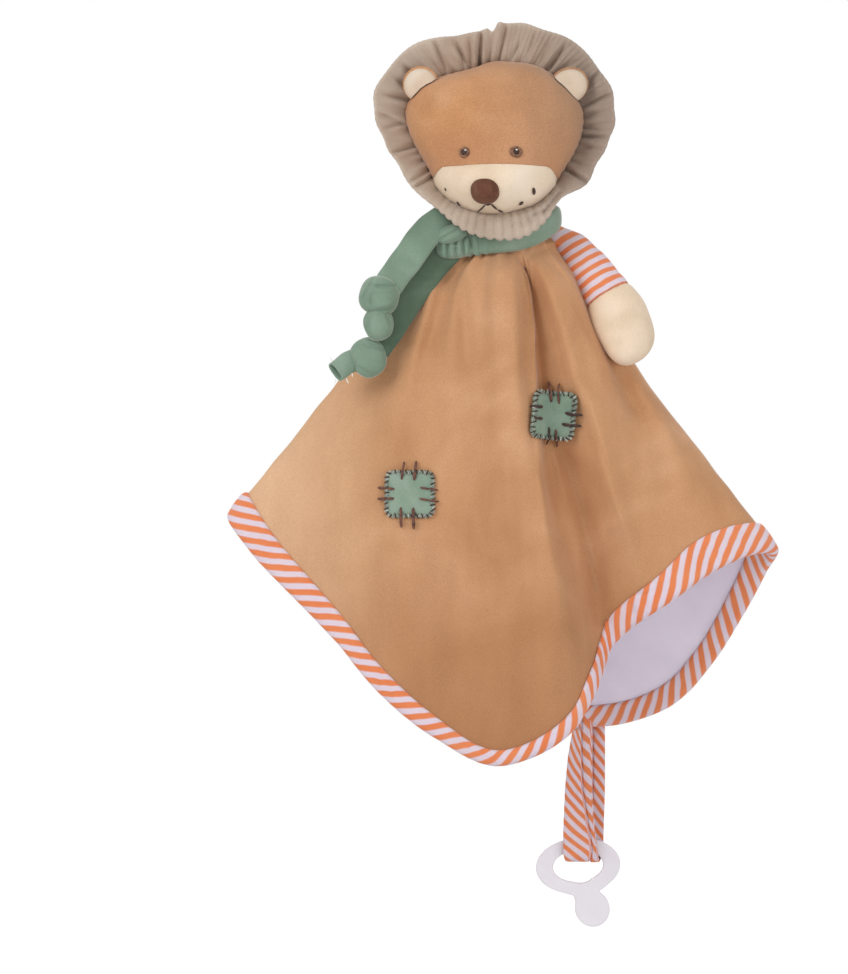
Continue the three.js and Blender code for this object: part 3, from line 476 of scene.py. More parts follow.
# Thread: fine twisted strands that run round each stitch
def thread(name, dark, light, strand=0.35):
    material, shader = startMaterial(name, 0.6, 0.3, (1, 0.9, 0.85), 0.4, 0.4)
    where = objectCoordinates(material)
    tone = noiseAt(material, where, 1 / (1.3 * metre), 3.0, 0.6)
    join(material, rampOf(material, tone, [(0.35, linear(*dark)), (0.65, linear(*light))]),
         shader.inputs["Base Color"])
    bumpOf(material, shader, noiseAt(material, where, 1 / (strand * metre), 2.0, 0.7), 0.15 * metre,
           0.8)
    return material


def corduroy(name, tones, paintedShading=()):
    dark, middle, light = tones
    material, shader = startMaterial(name, 0.92, 0.45, (1, 0.97, 0.93), 0.4, 0.12)
    where = objectCoordinates(material)
    patches = noiseAt(material, where, 1 / (22 * metre), 2.0, 0.5, 0.4)
    colour = rampOf(material, patches, [(0.3, linear(*dark)), (0.5, linear(*middle)),
                                        (0.7, linear(*light))])
    # painted light and shade: the tone drifts lighter or darker across the piece
    colour = paintedLightAndShade(material, where, colour, paintedShading)
    pile = noiseAt(material, where, 1 / (0.5 * metre), 3.0, 0.65)
    shade = rampOf(material, pile, [(0.3, (0.9, 0.9, 0.9, 1)), (0.7, (1.08, 1.08, 1.08, 1))])
    join(material, blendColours(material, 1.0, colour, shade, "MULTIPLY"), shader.inputs["Base Color"])
    bumpOf(material, shader, pile, 0.18 * metre, 0.6)
    return material


def fibreFilling(name):
    material, shader = startMaterial(name, 0.95, 0.3, (1, 1, 1), 0.5, 0.1)
    where = objectCoordinates(material)
    tone = noiseAt(material, where, 1 / (1.5 * metre), 4.0, 0.7, 1.5)
    join(material, rampOf(material, tone, [(0.3, linear(226, 224, 220)), (0.7, linear(250, 249, 246))]),
         shader.inputs["Base Color"])
    bumpOf(material, shader, tone, 0.5 * metre, 0.9)
    return material


def mouldedPlastic(name, colour):
    material, shader = startMaterial(name, 0.42, 0.0, specular=0.45)
    where = objectCoordinates(material)
    cloud = noiseAt(material, where, 1 / (18 * metre), 2.0)
    deeper = tuple(max(0, c - 7) for c in colour)
    join(material, rampOf(material, cloud, [(0.3, linear(*deeper)), (0.7, linear(*colour))]),
         shader.inputs["Base Color"])
    bumpOf(material, shader, noiseAt(material, where, 1 / (0.8 * metre), 2.0), 0.02 * metre, 0.3)
    return material


# tan velour with painted light, lighter towards the left corner, and painted shade, darker towards the
# bottom
tanVelour = velour("tanVelour", ((192, 141, 101), (203, 153, 113), (215, 167, 130)), 44, 0.65,
                   (1, 0.9, 0.82), 0.12,
                   [("X", -36, -92, (224, 183, 146)), ("Z", -110, -205, (177, 127, 90))])
# head velour with painted light and shade: greyer towards the right and a little darker lower down
headVelour = velour("headVelour", ((192, 136, 94), (202, 148, 105), (209, 159, 119)), 30, 0.45,
                    (1, 0.92, 0.84), 0.2,
                    [("X", -12, 30, (182, 141, 110)), ("Z", 45, 20, (196, 144, 108))])
creamVelour = velour("creamVelour", ((227, 205, 178), (238, 217, 192), (241, 224, 204)), 24, 0.4,
                     (1, 0.96, 0.9), 0.07)
earVelour = velour("earVelour", ((210, 190, 168), (220, 201, 180), (226, 210, 192)), 24, 0.4,
                   (1, 0.94, 0.9), 0.07)
greenVelour = velour("greenVelour", ((115, 138, 120), (131, 154, 136), (150, 169, 153)), 26, 0.9,
                     (0.94, 0.96, 0.94), 0.1)
# a darker copy of the green velour for the back tail: painted shade where it lies in the front tail's
# shadow
greenPaintedShade = velour("greenPaintedShade", ((84, 103, 86), (97, 117, 99), (112, 130, 114)), 26, 0.5,
                    (0.9, 0.95, 0.92), 0.09)
noseVelour = velour("noseVelour", ((92, 58, 46), (108, 72, 57), (122, 86, 70)), 8, 0.35,
                    (0.8, 0.7, 0.65), 0.25)
# mane corduroy with painted shade, darker towards the right
maneCord = corduroy("maneCord", ((176, 157, 141), (190, 172, 156), (201, 185, 170)),
                    [("X", 12, 34, (166, 149, 136))])
lilacJersey = plainJersey("lilacJersey", (243, 235, 250), (234, 225, 243), (176, 124, 84))
bindingJersey = stripedJersey("bindingJersey", 4.7, 0.52, 47)
strapJersey = stripedJersey("strapJersey", 3.4, 0.5, 50)
sleeveJersey = stripedJersey("sleeveJersey", 4.0, 0.5, 0)
brownThread = thread("brownThread", (66, 38, 28), (124, 78, 62))
irisThread = thread("irisThread", (78, 48, 32), (150, 106, 78))
darkThread = thread("darkThread", (40, 26, 22), (74, 48, 40))
sleeveThread = thread("sleeveThread", (200, 150, 130), (228, 190, 178))
whiteThread = thread("whiteThread", (232, 230, 226), (252, 251, 248), 0.3)
whipThread = thread("whipThread", (84, 78, 70), (196, 200, 192))
filling = fibreFilling("filling")
palePlastic = mouldedPlastic("palePlastic", (239, 235, 242))
print("materials are made")


# Blanket
blanket = {
    "side": 308, "velourThickness": 1.5, "liningThickness": 0.8, "gap": 0.3,
    "bindingThickness": 1.0, "neckHalfWidth": 15, "neckHalfDepth": 13, "gatherTop": 1,
    "gatherBottom": -6,
    "shoulderHalfWidth": 32, "shoulderHalfDepth": 21.5, "shoulderDrop": 18, "columns": 400, "rows": 92,
    "gatherDepth": 1.0, "gathers": 27,
}
halfSide = blanket["side"] / 2

# Rays of the cloth from the neck to the hem: turn on the flat square, turn round the neck, shoulder
# share, then shares of half the side: shift and depth half way down, and the hem's place
rayShares = np.array([
    [-45, 180, 1.06, 0, 0.04, -0.695, 0.013, -0.727],
    [-37.5, 192, 1, 0, -0.015, -0.618, -0.026, -0.829],
    [-30, 205, 0.98, 0, -0.06, -0.522, -0.058, -0.93],
    [-22.5, 218, 1, 0, -0.09, -0.421, -0.084, -1.036],
    [-15, 232, 0.96, 0, -0.11, -0.317, -0.11, -1.161],
    [-7.5, 247, 1, 0, -0.118, -0.177, -0.136, -1.275],
    [0, 264, 0.96, 0, -0.123, -0.003, -0.156, -1.35],
    [7.5, 282, 1.04, -0.02, -0.14, 0.192, -0.156, -1.252],
    [10, 288, 1.02, -0.035, -0.13, 0.223, -0.123, -1.2],
    [12.5, 292, 0.86, -0.035, -0.075, 0.25, -0.078, -1.149],
    [15, 295, 0.8, -0.035, -0.05, 0.267, -0.032, -1.104],
    [18, 298, 0.8, -0.03, -0.052, 0.29, -0.013, -1.049],
    [21, 301, 0.88, -0.02, -0.075, 0.332, -0.039, -1.003],
    [24, 305, 0.98, -0.01, -0.105, 0.379, -0.071, -0.969],
    [28, 312, 1.02, 0, -0.1, 0.444, -0.084, -0.925],
    [33, 324, 0.94, 0, -0.06, 0.525, -0.071, -0.865],
    [39, 342, 0.92, 0, -0.013, 0.629, -0.045, -0.813],
    [45, 360, 0.92, 0, 0.045, 0.708, 0.013, -0.802],
    [52.5, 368, 0.94, 0, 0.09, 0.697, 0.117, -0.853],
    [60, 376, 0.96, 0, 0.13, 0.636, 0.182, -0.979],
    [67.5, 384, 0.98, 0, 0.17, 0.561, 0.247, -1.107],
    [75, 392, 1, 0, 0.21, 0.473, 0.325, -1.21],
    [82.5, 400, 1.03, 0, 0.247, 0.355, 0.416, -1.265],
    [90, 408, 1.05, 0, 0.273, 0.245, 0.494, -1.276],
    [97.5, 416, 1.03, 0, 0.266, 0.19, 0.474, -1.227],
    [105, 424, 1, 0, 0.247, 0.156, 0.416, -1.156],
    [120, 436, 0.92, 0, 0.208, 0.104, 0.312, -1.039],
    [135, 448, 0.88, 0, 0.195, 0.026, 0.273, -0.974],
    [150, 460, 0.93, 0, 0.221, -0.065, 0.338, -1.026],
    [165, 472, 1, 0, 0.26, -0.169, 0.442, -1.104],
    [180, 482, 1.04, 0, 0.286, -0.247, 0.519, -1.169],
    [195, 490, 1, 0, 0.26, -0.286, 0.416, -1.078],
    [210, 497, 0.94, 0, 0.221, -0.312, 0.299, -0.987],
    [225, 504, 0.9, 0, 0.195, -0.338, 0.234, -0.922],
    [240, 510, 0.92, 0, 0.195, -0.377, 0.299, -0.948],
    [255, 515, 0.98, 0, 0.208, -0.416, 0.403, -0.974],
    [270, 520, 1.03, 0, 0.214, -0.442, 0.481, -0.974],
    [285, 526, 0.98, 0, 0.169, -0.506, 0.338, -0.87],
    [300, 533, 0.96, 0, 0.104, -0.597, 0.169, -0.792],
])


def throughTable(turns, column):
    # a smooth closed curve through one column of the table
    gain = 360 if column == 1 else 0
    known = rayShares[:, 0]
    values = rayShares[:, column]
    known = np.concatenate([known[-2:] - 360, known, known[:3] + 360])
    values = np.concatenate([values[-2:] - gain, values, values[:3] + gain])
    k = np.clip(np.searchsorted(known, turns, side="right") - 1, 1, len(known) - 3)
    before, step, after = known[k] - known[k - 1], known[k + 1] - known[k], known[k + 2] - known[k + 1]
    fall = [(values[k + n] - values[k + n - 1]) / (known[k + n] - known[k + n - 1]) for n in (0, 1, 2)]
    slopeLow = (fall[0] * step + fall[1] * before) / (before + step) * step
    slopeHigh = (fall[1] * after + fall[2] * step) / (step + after) * step
    t = (turns - known[k]) / step
    rise = values[k + 1] - values[k]
    return values[k] + t * (slopeLow + t * (
        3 * rise - 2 * slopeLow - slopeHigh + t * (slopeLow + slopeHigh - 2 * rise)))


def splineAt(points, at):
    # centripetal curve through points (..., k, 3) at places from 0 to k - 1
    first = 2 * points[..., :1, :] - points[..., 1:2, :]
    last = 2 * points[..., -1:, :] - points[..., -2:-1, :]
    points = np.concatenate([first, points, last], -2)
    k = np.clip(np.floor(at).astype(int), 0, points.shape[-2] - 4)
    w = (at - k)[..., None]
    p = [np.take_along_axis(points, np.repeat((k + n)[..., None], 3, -1), -2) for n in range(4)]
    d = [np.maximum(np.sqrt(np.linalg.norm(p[n + 1] - p[n], axis=-1, keepdims=True)),
                    1e-4) for n in range(3)]
    low = (p[1] - p[0]) / d[0] - (p[2] - p[0]) / (d[0] + d[1]) + (p[2] - p[1]) / d[1]
    high = (p[2] - p[1]) / d[1] - (p[3] - p[1]) / (d[1] + d[2]) + (p[3] - p[2]) / d[2]
    low, high = low * d[1], high * d[1]
    rise = p[2] - p[1]
    return p[1] + w * (low + w * (3 * rise - 2 * low - high + w * (low + high - 2 * rise)))


def slantOf(turns):
    # takes the flat square's corners at turns 45, 135, 225 and 315, 45 from the hem's far points
    fromSide = (turns - 45) % 90 - 45
    return 1 / np.cos(np.radians(np.where(fromSide > 45, fromSide - 90, fromSide)))


def clothRays(turns):
    neckTurn, shoulder, shift, depth, hemX, hemY, hemZ = (throughTable(turns, k) for k in range(1, 8))
    angle = np.radians(neckTurn)
    hem = np.stack([hemX, hemY, hemZ], -1) * halfSide

    def ring(halfWidth, halfDepth, height):
        return np.stack([halfWidth * np.cos(angle), halfDepth * np.sin(angle),
                         np.full_like(angle, height)], -1)

    flare = blanket["velourThickness"]
    top = ring(blanket["neckHalfWidth"], blanket["neckHalfDepth"], blanket["gatherTop"])
    low = ring(blanket["neckHalfWidth"] + flare, blanket["neckHalfDepth"] + flare,
               blanket["gatherBottom"])
    wide = ring(blanket["shoulderHalfWidth"] * shoulder, blanket["shoulderHalfDepth"] * shoulder,
                -blanket["shoulderDrop"])
    middle = (wide + hem) / 2
    middle[:, 0] += shift * halfSide
    middle[:, 1] = depth * halfSide
    return np.stack([top, low, wide, middle, hem], 1), neckTurn


# Folds that the photograph shows on the front: a line in its pixels, how far each side of the line
# falls off, and how far the cloth stands forward there
frontFolds = [
    {"line": [(516, 246), (517, 300), (517, 345), (518, 390), (521, 440), (527, 478)], "left": 26,
     "right": 4.2, "lift": 3.3},
    {"line": [(519, 256), (523, 300), (527, 345), (530, 390), (534, 440), (542, 480)], "left": 4.6,
     "right": 14, "lift": -3.6},
    {"line": [(534, 256), (549, 292), (562, 335), (574, 382), (588, 410), (597, 440), (604, 472),
              (614, 510), (626, 548), (642, 590)],
     "left": 3.4, "right": 15, "lift": 4.4},
    {"line": [(553, 240), (568, 270), (584, 312), (600, 352), (615, 388), (626, 418)], "left": 12,
     "right": 3.2, "lift": 4.2},
    {"line": [(545, 425), (557, 470), (567, 510), (577, 552), (585, 600), (589, 628)], "left": 20,
     "right": 3.4, "lift": 2.4},
    {"line": [(557, 440), (571, 474), (581, 510), (590, 550), (596, 596), (598, 624)], "left": 4.2,
     "right": 12, "lift": -5.0},
    {"line": [(612, 520), (618, 550), (626, 590)], "left": 9, "right": 14, "lift": 1.4},
    {"line": [(490, 252), (494, 320), (498, 400), (500, 470)], "left": 8, "right": 14, "lift": 2.4},
    {"line": [(459, 262), (463, 300), (467, 345), (468, 380)], "left": 9, "right": 7, "lift": -3.0},
    {"line": [(446, 262), (440, 300), (428, 345), (415, 380)], "left": 8, "right": 10, "lift": -4.2},
    {"line": [(440, 270), (428, 320), (408, 380), (386, 430)], "left": 14, "right": 12, "lift": 2.4},
    {"line": [(400, 350), (380, 400), (350, 450), (310, 500)], "left": 14, "right": 16, "lift": -1.3},
    {"line": [(258, 496), (282, 520), (312, 556), (335, 585)], "left": 7, "right": 12, "lift": -1.0},
    {"line": [(300, 478), (330, 520), (372, 560)], "left": 14, "right": 16, "lift": 1.0},
    {"line": [(618, 365), (628, 395), (645, 425)], "left": 7, "right": 9, "lift": -3.4},
    {"line": [(636, 372), (655, 410), (682, 455)], "left": 8, "right": 9, "lift": 2.4},
    {"line": [(660, 420), (680, 460), (700, 500)], "left": 12, "right": 12, "lift": 1.2},
    {"line": [(470, 480), (480, 560), (492, 640)], "left": 22, "right": 22, "lift": 1.4},
    {"line": [(440, 500), (445, 570), (452, 640)], "left": 16, "right": 16, "lift": -1.1},
    {"line": [(520, 500), (530, 560), (538, 630)], "left": 12, "right": 18, "lift": -1.4},
]


def foldLift(points):
    px, py = photoPlace(points)
    here = np.stack([px, py], -1)
    total = np.zeros(px.shape)
    for fold in frontFolds:
        line = np.array(fold["line"], float)
        parts = np.linalg.norm(np.diff(line, axis=0), axis=1)
        run = np.concatenate([[0], np.cumsum(parts)])
        best = np.full(px.shape, 1e9)
        side = np.zeros(px.shape)
        along = np.zeros(px.shape)
        for k in range(len(line) - 1):
            way = line[k + 1] - line[k]
            t = ((here - line[k]) @ way) / (way @ way)
            held = np.clip(t, 0, 1)
            gap = here - (line[k] + held[..., None] * way)
            far = np.linalg.norm(gap, axis=-1)
            turn = way[0] * gap[..., 1] - way[1] * gap[..., 0]
            nearer = far < best
            best = np.where(nearer, far, best)
            side = np.where(nearer, -turn, side)
            along = np.where(nearer, (run[k] + held * parts[k]) / run[-1], along)
        width = np.where(side > 0, fold["right"], fold["left"])
        taper = smoothStep(along, 0, 0.12) * smoothStep(1 - along, 0, 0.3)
        total += fold["lift"] * np.exp(-(best / width) ** 2) * (0.25 + 0.75 * taper) * (taper > 0)
    return total


def gridNormals(grid, closed=True):
    if closed:
        around = np.roll(grid, -1, 0) - np.roll(grid, 1, 0)
    else:
        around = np.gradient(grid, axis=0)
    down = np.gradient(grid, axis=1)
    return unit(np.cross(down, around))


# Deep hanging folds behind, where the cloth is gathered most
backFolds = {"pitch": 33, "depth": 6.4, "from": (98, 128), "to": (290, 312), "grow": (0.1, 0.75)}
hemTurns = np.arange(-45, 315.01, 0.25)
hemPlaces = clothRays(hemTurns)[0][:, -1]
hemRun = np.concatenate([[0], np.cumsum(np.linalg.norm(np.diff(hemPlaces, axis=0), axis=1))])


def hangingFolds(turns, shares):
    run = np.interp(turns, hemTurns, hemRun)
    begin, stop = backFolds["from"], backFolds["to"]
    window = smoothStep(turns, *begin) * (1 - smoothStep(turns, *stop))
    phase = 2 * np.pi * run / backFolds["pitch"] + 0.7 * np.sin(run / 19) + 0.5 * np.sin(run / 43 + 1)
    crest = np.sin(phase[:, None] + 0.5 * shares)
    return backFolds["depth"] * window[:, None] * smoothStep(shares, *backFolds["grow"]) * crest


# How far the cloth stands out below the right shoulder: lift, and the share of the ray and its reach
rightFullness = [(3.0, 0.02, 0.03), (4.8, 0.06, 0.05), (2.6, 0.16, 0.07)]


# Points and normals of the cloth's outer face: columns at turns of the flat square, rows at
# shares of each ray
def clothFace(turns, shares):
    control, neckTurn = clothRays(turns)
    places = np.linspace(0, 4, 241)
    dense = splineAt(control, np.repeat(places[None], len(turns), 0))
    lengths = np.linalg.norm(np.diff(dense, axis=1), axis=2)
    run = np.concatenate([np.zeros((len(turns), 1)), np.cumsum(lengths, 1)], 1)
    total = run[:, -1]
    shares = np.broadcast_to(shares, (len(turns), np.shape(shares)[-1]))
    at = np.stack([np.interp(shares[i], run[i] / total[i], places) for i in range(len(turns))])
    grid = splineAt(control, at)
    normals = gridNormals(grid)
    theta = np.radians(neckTurn)[:, None]
    phase = blanket["gathers"] * theta + 1.3 * np.sin(3 * theta + 1) + 0.9 * np.sin(7 * theta + 2)
    near = np.exp(-(shares / 0.085) ** 2)
    far = np.exp(-((shares - 0.1) / 0.13) ** 2)
    gather = blanket["gatherDepth"] * (near * np.sin(phase) * 0.8 + 0.7 * far * np.sin(phase / 2 + 0.7))
    right = np.exp(-((turns - 44) / 20) ** 2)[:, None]
    fullness = right * sum(lift * np.exp(-((shares - at) / reach) ** 2)
                           for lift, at, reach in rightFullness)
    fullness = fullness + (1.2 * np.exp(-((turns + 40) / 22) ** 2)[:, None]
                           * np.exp(-((shares - 0.06) / 0.045) ** 2))
    gather = gather + fullness
    forward = smoothStep(-normals[..., 1], 0.02, 0.35)
    soft = 0.7 * ripple(grid, 52, 3) + 0.25 * ripple(grid, 17, 8)
    ease = smoothStep(shares, 0.02, 0.2)
    grid = grid + normals * (gather + soft * ease + hangingFolds(turns, shares))[..., None]
    grid[..., 1] -= foldLift(grid) * forward
    return grid, gridNormals(grid), total


def keptInside(grid, tree, least):
    # points nearer to the outer face than the cloth is thick move further in
    for _ in range(5):
        for k, point in enumerate(grid.reshape(-1, 3)):
            place, normal, _, _ = tree.find_nearest(Vector(point))
            depth = (place - Vector(point)).dot(normal)
            if depth < least:
                grid.reshape(-1, 3)[k] -= np.array(normal) * (least - depth)
    return grid


def clothTree(columns, rows):
    turns = -45 + np.arange(columns) * 360 / columns
    grid = clothFace(turns, np.linspace(0, 1, rows) ** 1.15)[0]
    faces = gridFaces(columns, rows, True, False)[0].tolist()
    tree = BVHTree.FromPolygons(grid.reshape(-1, 3).tolist(), faces)
    _, normal, _, _ = tree.find_nearest(Vector((0, -200, -120)))
    return tree if normal.y < 0 else BVHTree.FromPolygons(
        grid.reshape(-1, 3).tolist(), [face[::-1] for face in faces])


def clothShell(name, low, high, columns, rows, material, under=None):
    turns = -45 + np.arange(columns) * 360 / columns
    shares = np.linspace(0, 1, rows) ** 1.15
    grid, normals, _ = clothFace(turns, shares)
    outer, inner = grid + normals * high, grid + normals * low
    if under:
        least = blanket["velourThickness"] + 0.25
        outer, inner = keptInside(outer, under, least), keptInside(inner, under, least + high - low)
    section = np.concatenate([outer, inner[:, ::-1]], 1)
    reach = halfSide * np.append(slantOf(turns), slantOf(turns[:1]))[:, None] * metre
    angle = np.radians(np.append(turns, turns[0] + 360))[:, None]
    flat = np.stack([np.cos(angle) * reach * shares, np.sin(angle) * reach * shares], -1)
    flat = np.concatenate([flat, flat[:, ::-1], flat[:, :1]], 1)
    return gridPiece(name, section, material, True, True, flat)


bindingFacts = {"period": 4.7, "slant": 47, "width": 7.9, "tip": (0.45, 1, 8), "wide": (0.26, 33, 7)}
bindingBunches = [(-38, 2.5), (-14, 2), (-2, 3), (14, 3), (24, 2.5), (36, 3), (52, 3), (62, 2.5),
                  (74, 3), (88, 3),
                  (110, 3), (140, 3), (170, 4), (200, 3), (235, 4), (268, 4), (296, 3)]


def addBinding():
    columns = 640
    turns = -45 + np.arange(columns) * 360 / columns
    _, _, length = clothFace(turns, np.linspace(0, 1, 3))
    # the strip keeps its cut width: where less of it shows in front, more lies behind
    (less, tipTurn, tipReach), (more, wideTurn, wideReach) = bindingFacts["tip"], bindingFacts["wide"]
    narrow = 1 - less * np.exp(-((turns - tipTurn) / tipReach) ** 2)
    narrow = narrow + more * np.exp(-((turns - wideTurn) / wideReach) ** 2)
    start = 1 - bindingFacts["width"] * narrow * slantOf(turns) / length
    legShares = np.array([0, 0.03, 0.09, 0.18, 0.32, 0.48, 0.64, 0.8, 0.92, 1.0])
    rows = start[:, None] + (1 - start[:, None]) * legShares
    rows[:, -1] = 1
    grid, normals, _ = clothFace(turns, rows)
    backStart = 1 - bindingFacts["width"] * (2 - narrow) * slantOf(turns) / length
    backRows = backStart[:, None] + (1 - backStart[:, None]) * legShares
    backRows[:, -1] = 1
    backGrid, backNormals, _ = clothFace(turns, backRows)
    down = unit(grid[:, -1] - grid[:, -3]) * slantOf(turns)[:, None]
    gap, thick = blanket["gap"], blanket["bindingThickness"]
    outside = gap + thick
    behind = -(blanket["velourThickness"] + gap + blanket["liningThickness"])
    run = np.concatenate([[0], np.cumsum(
        np.linalg.norm(np.diff(grid[:, 5], axis=0, append=grid[:1, 5]), axis=1))])
    puff = np.array([0.05, 0.75, 1.1, 1.28, 1.38, 1.4, 1.38, 1.3, 1.2, 1.05]) * outside
    rough = np.zeros(columns)
    for turn, width in bindingBunches:
        rough += np.exp(-((turns - turn) / width) ** 2)
    wave = np.sin(run[:-1, None] * 2 * np.pi / 5.6 + 2.2 * np.sin(run[:-1, None] / 23)
                  + legShares * 2.0)
    broad = np.sin(run[:-1, None] * 2 * np.pi / 19 + 1.7 * np.sin(run[:-1, None] / 41))
    body = np.sin(np.pi * np.clip(legShares, 0, 1)) * 0.75 + 0.25
    lift = puff + (0.12 + 0.5 * rough[:, None]) * wave * body * (legShares > 0.02) + 0.18 * broad * body
    lift = np.maximum(lift, gap + 0.1)
    outer = grid + normals * lift[..., None]
    back = -(puff * 0.9 + 0.1) + behind
    inner = backGrid + backNormals * back[None, :, None]
    bend = np.radians(np.array([25, 50, 75, 100, 125, 150]))
    top, bottom = lift[:, -1:], np.repeat(back[-1:][None], columns, 0)
    middle, half = (top + bottom) / 2, (top - bottom) / 2
    hem, face = grid[:, -1:], normals[:, -1:]
    turned = (hem + face * (middle + half * np.cos(bend))[..., None]
              + down[:, None] * (np.sin(bend) * (half * 0.62 + 0.2))[..., None])
    pick = [0, 3, 5, 7, 9]
    hollowOut = grid[:, pick] + normals[:, pick] * gap
    hollowBack = backGrid[:, pick] + backNormals[:, pick] * (behind - gap)
    hollowEdge = hem + down[:, None] * gap
    lifts = [[gap], [behind - gap]]
    corners = np.concatenate([hollowEdge + face * lifts[0][0], hollowEdge + face * lifts[1][0]], 1)
    section = np.concatenate([outer, turned, inner[:, ::-1], hollowBack, corners[:, ::-1],
                              hollowOut[:, ::-1]], 1)
    # flat coordinates of the strip: along the hem, and across it round the section
    ways = np.diff(section, axis=1, append=section[:, :1])
    middle = (np.roll(section, -1, 0) - np.roll(section, 1, 0)).mean(1)
    hemWay = unit(middle)[:, None]
    shift = (ways * hemWay).sum(-1)
    step = np.sqrt(np.maximum((ways ** 2).sum(-1) - shift ** 2, 0))
    zero = np.zeros((columns, 1))
    alongShift = np.concatenate([zero, np.cumsum(shift, 1)], 1)
    across = np.concatenate([zero, np.cumsum(step, 1)], 1)
    edge = len(legShares) + 2
    alongShift, across = alongShift - alongShift[:, 5:6], across[:, edge:edge + 1] - across
    wholeStep = bindingFacts["period"] / math.cos(math.radians(bindingFacts["slant"]))
    scale = round(run[-1] / wholeStep) * wholeStep / run[-1]
    alongAll = run[:-1, None] * scale + alongShift
    uv = np.stack([np.concatenate([alongAll, alongAll[:1] + run[-1] * scale]),
                   np.concatenate([across, across[:1]])], -1) * metre
    piece = gridPiece("hemBinding", section, bindingJersey, True, True, uv)
    settle(piece, "blanket", "striped_jersey", "hem_binding")
    return piece


def addBlanket():
    velourPiece = clothShell("blanketVelour", -blanket["velourThickness"], 0, blanket["columns"],
                             blanket["rows"], tanVelour)
    settle(velourPiece, "blanket", "tan_velour", "blanket_velour")
    low = -(blanket["velourThickness"] + blanket["gap"] + blanket["liningThickness"])
    lining = clothShell("blanketLining", low, low + blanket["liningThickness"], 400, 60, lilacJersey,
                        clothTree(480, 110))
    hidden = lining.data.attributes.new("hiddenFace", "FLOAT", "POINT")
    hidden.data.foreach_set("value", np.tile(np.arange(120) < 60, 400).astype(np.float32))
    settle(lining, "blanket", "lilac_jersey", "blanket_lining")
    addBinding()
    return velourPiece


blanketVelour = addBlanket()
print("blanket: velour, lining and binding are hung")


# Stitches: one short padded loop of thread, modelled once and copied with its own mesh
def stitchShape():
    bpy.ops.object.select_all(action="DESELECT")
    bpy.ops.mesh.primitive_uv_sphere_add(segments=8, ring_count=6, radius=1, location=(0, 0, 0))
    shape = bpy.context.object
    shape.name = "stitchShape"
    bpy.ops.object.mode_set(mode="EDIT")
    bpy.ops.mesh.select_all(action="SELECT")
    bpy.ops.transform.rotate(value=math.radians(90), orient_axis="Y", center_override=(0, 0, 0))
    bpy.ops.object.mode_set(mode="OBJECT")
    points = np.array([v.co for v in shape.data.vertices])
    faces = [list(p.vertices) for p in shape.data.polygons]
    bpy.data.objects.remove(shape)
    return points, faces


stitchPoints, stitchFaces = stitchShape()


# Threads laid from place to place, each (start, end, facing, width, thickness); ends dip in
def stitchesPiece(name, runs, material):
    points, faces = [], []
    for start, end, facing, width, thickness in runs:
        start, end, facing = (np.asarray(v, float) for v in (start, end, facing))
        along = end - start
        length = np.linalg.norm(along)
        along = along / length
        facing = unit(facing - along * (facing @ along))
        across = np.cross(facing, along)
        shape = stitchPoints.copy()
        blunt = np.sign(shape[:, 0]) * np.abs(shape[:, 0]) ** 0.8
        rise = shape[:, 2] * (thickness / 2) + thickness * 0.5 - 0.35 * thickness * blunt ** 2
        placed = (start + end) / 2 + np.outer(blunt * length / 2,
                                              along) + np.outer(shape[:, 1] * width / 2, across)
        placed = placed + np.outer(rise, facing)
        offset = sum(len(p) for p in points)
        points.append(placed)
        faces += [[k + offset for k in face] for face in stitchFaces]
    return pieceFrom(name, np.concatenate(points), faces, material)


def surfaceTree(piece):
    points = [v.co / metre for v in piece.data.vertices]
    return BVHTree.FromPolygons(points, [list(p.vertices) for p in piece.data.polygons])


def ontoFront(tree, x, z):
    # the place of a surface straight behind a point of the front view, and its normal
    place, normal, _, _ = tree.ray_cast(Vector((x, -300, z)), Vector((0, 1, 0)))
    if normal.y > 0:
        normal = -normal
    return np.array(place), np.array(normal)


# Patches, each sewn on with whipped stitches round its edge and eight long ones across it
patchSizes = {
    "thickness": 0.9, "gap": 0.3, "corner": 3.2, "whipPitch": 1.05, "whipLength": 2.1,
    "whipWidth": 0.62,
    "left": {"middle": (-36, -102.4), "width": 19.5, "height": 18.5, "turn": 0},
    "right": {"middle": (20.9, -71.2), "width": 18.0, "height": 19.3, "turn": -5},
}
# Long stitches: middle as shares of the patch, direction in degrees, length, width, dark or brown
longStitches = {
    "left": [(-0.13, 0.5, 82, 7.4, 1.05, "brown"), (0.12, 0.5, 84, 8.0, 1.35, "brown"),
             (-0.17, -0.5, 91, 8.2, 1.3, "brown"),
             (0.08, -0.52, 91, 8.8, 1.4, "brown"), (-0.47, 0.12, -4, 6.8, 1.15, "brown"),
             (-0.48, -0.1, 2, 6.8, 1.2, "brown"),
             (0.4, 0.11, -8, 7.4, 0.95, "brown"), (0.4, -0.13, -8, 8.2, 0.95, "brown")],
    "right": [(-0.12, 0.48, 94, 8.4, 1.15, "brown"), (0.12, 0.47, 93, 8.2, 1.2, "brown"),
              (-0.14, -0.44, 86, 7.2, 1.25, "dark"),
              (0.1, -0.46, 91, 7.4, 1.1, "brown"), (-0.44, 0.14, -2, 4.6, 1.45, "dark"),
              (-0.42, -0.1, -4, 4.4, 1.4, "dark"),
              (0.48, 0.08, -9, 6.8, 1.45, "dark"), (0.45, -0.15, -7, 7.6, 1.4, "dark")],
}


